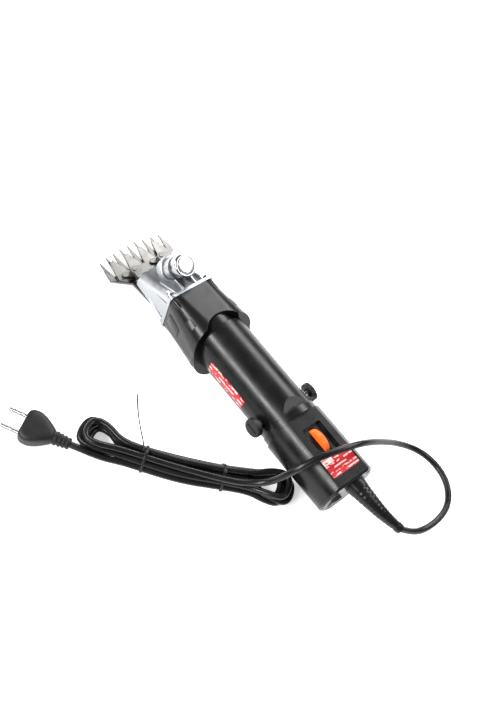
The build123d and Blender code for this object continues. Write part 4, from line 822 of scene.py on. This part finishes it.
class SHEARS_OT_housing_detail(bpy.types.Operator):
    """Rings at the handle's front end, and pads of the gear housing"""

    bl_idname = "shears.housing_detail"
    bl_label = "Housing detail"

    def execute(self, context):
        obj = piece("housing_trim", "shears_body", black_nylon())
        bm = bmesh.new()
        for x, inner, outer, width in RIM_RINGS:
            profile = [
                (inner, 0.0),
                (outer - RIM_ROUNDING, 0.0),
                (outer, RIM_ROUNDING),
                (outer, width - RIM_ROUNDING),
                (outer - RIM_ROUNDING, width),
                (inner, width),
                (inner, 0.0),
            ]
            turned(bm, in_metres(profile), frame_at((x * MM, 0.0, AXIS_Z), (1.0, 0.0, 0.0)), steps=96)
        for side in (-1.0, 1.0):
            for spot, facing, size, lift, narrowing in PADS:
                normal = Vector((facing[0], side * facing[1], facing[2])).normalized()
                along = (Vector((1.0, 0.0, 0.0)) - normal * normal.x).normalized()
                place = standing(along, normal.cross(along), normal, Vector((spot[0], side * spot[1], spot[2])) * MM)
                verts = bmesh.ops.create_cube(bm, size=1.0)["verts"]
                top = [vert for vert in verts if vert.co.z > 0.0]
                bmesh.ops.scale(bm, verts=top, vec=(narrowing, narrowing, 1.0))
                scale = Matrix.Diagonal((size[0] * MM, size[1] * MM, (lift + PAD_SUNK) * MM, 1.0))
                sink = Matrix.Translation((0.0, 0.0, (lift - PAD_SUNK) / 2 * MM))
                bmesh.ops.transform(bm, matrix=place @ sink @ scale, verts=verts)
                soften(bm, verts, 0.0007, 3)
        close_up(bm, obj, 40.0)
        return {"FINISHED"}


class SHEARS_OT_thumb_wheel(bpy.types.Operator):
    """The knurled wheel that sets the speed"""

    bl_idname = "shears.thumb_wheel"
    bl_label = "Thumb wheel"

    def execute(self, context):
        low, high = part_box("speed_dial")
        centre = Vector([(a + b) / 2 for a, b in zip(low, high)])
        radius = (high[0] - low[0]) / 2
        width = high[1] - low[1]
        wheel = piece("thumb_wheel", "dial", dial_plastic(), replaced=["speed_dial"])
        bm = bmesh.new()
        place = frame_at(centre, (0.0, 1.0, 0.0))
        rings = []
        for share, inset in WHEEL_RIM:
            middle = place @ Vector((0.0, 0.0, share * width))
            reach = radius - inset * MM
            rings.append(ring(bm, middle, (0.0, 1.0, 0.0), (reach, reach), segments=WHEEL_LINES))
        skin(bm, rings, cap_start=False, cap_end=False)
        # every fourth line of the rim is pressed in
        for vert in bm.verts:
            out = vert.co - centre
            flat = Vector((out.x, 0.0, out.z))
            line = math.degrees(math.atan2(flat.z, flat.x)) / (360.0 / WHEEL_LINES)
            if round(line) % 4 == 0 and abs(out.y) < 0.49 * width:
                vert.co -= flat.normalized() * (WHEEL_KNURL * MM)
        share = WHEEL_BORE * MM / (radius - WHEEL_RIM[0][1] * MM)
        bore = []
        for rim in (rings[0], rings[-1]):
            made = bmesh.ops.extrude_edge_only(bm, edges=rim)
            bmesh.ops.scale(bm, verts=made_verts(made), vec=(share, 1.0, share), space=Matrix.Translation(-centre))
            bore += made_rim(made)
        bmesh.ops.bridge_loops(bm, edges=bore)
        close_up(bm, wheel, 30.0)
        return {"FINISHED"}


FINISHES = {
    "blade_steel": blade_steel,
    "cast_head": cast_alloy,
    "knob_chrome": bright_knob,
    "housing_black": black_nylon,
    "machined_steel": machined_steel,
    "cap_black": black_trim,
    "dial_orange": dial_plastic,
    "cord_rubber": cord_rubber,
    "plug_black": black_trim,
}
PRINTS = {"side_label": side_print, "rating_label": rating_print}


def finish_for(node, slot):
    """The material of a node: its print, a plain finish, or its slot's own function."""
    if node in PRINTS:
        return PRINTS[node]()
    if slot in PLAIN:
        return plain(slot)
    return FINISHES[slot]()


class SHEARS_OT_finishes(bpy.types.Operator):
    """Give every carried-over piece its finish"""

    bl_idname = "shears.finishes"
    bl_label = "Finishes"

    def execute(self, context):
        for entry in frame["record"]["subparts"]:
            obj = nodes[entry["node"]]
            obj.data.materials.clear()
            obj.data.materials.append(finish_for(entry["node"], entry["material_slot"]))
        return {"FINISHED"}


FLOOR_SIZE = 30.0
FLOOR_DROP = 0.0005                 # keeps the floor just clear of what rests on it
LENS = 82.38


class SHEARS_OT_stage(bpy.types.Operator):
    """Pale floor, soft studio light and camera"""

    bl_idname = "shears.stage"
    bl_label = "Stage"

    def execute(self, context):
        scene = context.scene
        mesh = bpy.data.meshes.new("floor")
        floor = bpy.data.objects.new("floor", mesh)
        scene.collection.objects.link(floor)
        bm = bmesh.new()
        bmesh.ops.create_grid(bm, x_segments=1, y_segments=1, size=FLOOR_SIZE)
        bmesh.ops.translate(bm, verts=bm.verts[:], vec=(0.0, 0.0, -FLOOR_DROP))
        bm.to_mesh(mesh)
        bm.free()
        pale = finish("studio_floor", (0.93, 0.93, 0.93), 0.01, (0.6, 0.7), blotch=2.0)
        pale.node_tree.nodes["Principled BSDF"].inputs["Emission Color"].default_value = (1.0, 1.0, 1.0, 1.0)
        pale.node_tree.nodes["Principled BSDF"].inputs["Emission Strength"].default_value = 0.5
        mesh.materials.append(pale)

        world = bpy.data.worlds.new("studio")
        scene.world = world
        world.use_nodes = True
        sky = world.node_tree
        direction = sky.nodes.new("ShaderNodeTexCoord")
        parts = sky.nodes.new("ShaderNodeSeparateXYZ")
        sky.links.new(direction.outputs["Generated"], parts.inputs["Vector"])
        ramp = sky.nodes.new("ShaderNodeValToRGB")
        ramp.color_ramp.elements[0].position = 0.0
        ramp.color_ramp.elements[0].color = (0.16, 0.16, 0.165, 1.0)
        ramp.color_ramp.elements[1].position = 1.0
        ramp.color_ramp.elements[1].color = (0.5, 0.5, 0.5, 1.0)
        sky.links.new(parts.outputs["Z"], ramp.inputs["Fac"])
        # seen directly the room is pale all round
        seen = sky.nodes.new("ShaderNodeLightPath")
        room = sky.nodes.new("ShaderNodeMix")
        room.data_type = "RGBA"
        room.inputs["B"].default_value = (1.1, 1.1, 1.1, 1.0)
        sky.links.new(seen.outputs["Is Camera Ray"], room.inputs["Factor"])
        sky.links.new(ramp.outputs["Color"], room.inputs["A"])
        sky.links.new(room.outputs["Result"], sky.nodes["Background"].inputs["Color"])
        sky.nodes["Background"].inputs["Strength"].default_value = 0.8

        def box_light(name, spot, width, height, power):
            light = bpy.data.lights.new(name, "AREA")
            light.shape = "RECTANGLE"
            light.size = width
            light.size_y = height
            light.energy = power
            obj = bpy.data.objects.new(name, light)
            scene.collection.objects.link(obj)
            obj.location = spot
            aim = -Vector(spot)
            obj.rotation_euler = aim.to_track_quat("-Z", "Y").to_euler()

        # place, width, height and power
        box_light("left_strip", (0.34, 0.96, 0.82), 1.5, 0.11, 34.0)
        box_light("right_box", (0.34, -0.92, 0.91), 1.5, 0.45, 26.0)
        box_light("back_box", (-0.75, -0.65, 1.0), 0.4, 0.4, 6.0)

        camera_data = bpy.data.cameras.new("camera")
        camera_data.sensor_fit = "HORIZONTAL"
        camera_data.sensor_width = 36.0
        camera_data.lens = LENS
        camera_data.clip_start = 0.01
        camera = bpy.data.objects.new("camera", camera_data)
        scene.collection.objects.link(camera)
        camera.matrix_world = Matrix((
            (-0.6183, 0.7353, -0.2776, -0.3108),
            (-0.7512, -0.449, 0.4838, 0.5258),
            (0.2312, 0.5076, 0.83, 0.9385),
            (0.0, 0.0, 0.0, 1.0),
        ))
        scene.camera = camera
        scene.view_settings.view_transform = "Standard"
        return {"FINISHED"}


class SHEARS_PT_panel(bpy.types.Panel):
    """Builds the shears piece by piece"""

    bl_idname = "SHEARS_PT_panel"
    bl_label = "Shears"
    bl_space_type = "VIEW_3D"
    bl_region_type = "UI"
    bl_category = "Shears"

    def draw(self, context):
        layout = self.layout
        for group in (context.scene.shears_sizes, context.scene.shears_colours):
            for key in group.bl_rna.properties.keys():
                if key not in ("rna_type", "name"):
                    layout.prop(group, key)
        for operator in OPERATORS:
            layout.operator(operator.bl_idname)


OPERATORS = (
    SHEARS_OT_finishes,
    SHEARS_OT_ties,
    SHEARS_OT_cord_sleeve,
    SHEARS_OT_plug,
    SHEARS_OT_cord,
    SHEARS_OT_head_detail,
    SHEARS_OT_housing_detail,
    SHEARS_OT_thumb_wheel,
    SHEARS_OT_stage,
)
CLASSES = (ShearsSizes, ShearsColours) + OPERATORS + (SHEARS_PT_panel,)


def register():
    for cls in CLASSES:
        bpy.utils.register_class(cls)
    bpy.types.Scene.shears_sizes = PointerProperty(type=ShearsSizes)
    bpy.types.Scene.shears_colours = PointerProperty(type=ShearsColours)


def unregister():
    del bpy.types.Scene.shears_colours
    del bpy.types.Scene.shears_sizes
    for cls in reversed(CLASSES):
        bpy.utils.unregister_class(cls)


def main():
    register()
    for operator in OPERATORS:
        group, name = operator.bl_idname.split(".")
        getattr(getattr(bpy.ops, group), name)()
    bpy.context.view_layer.update()


if __name__ == "__main__":
    main()
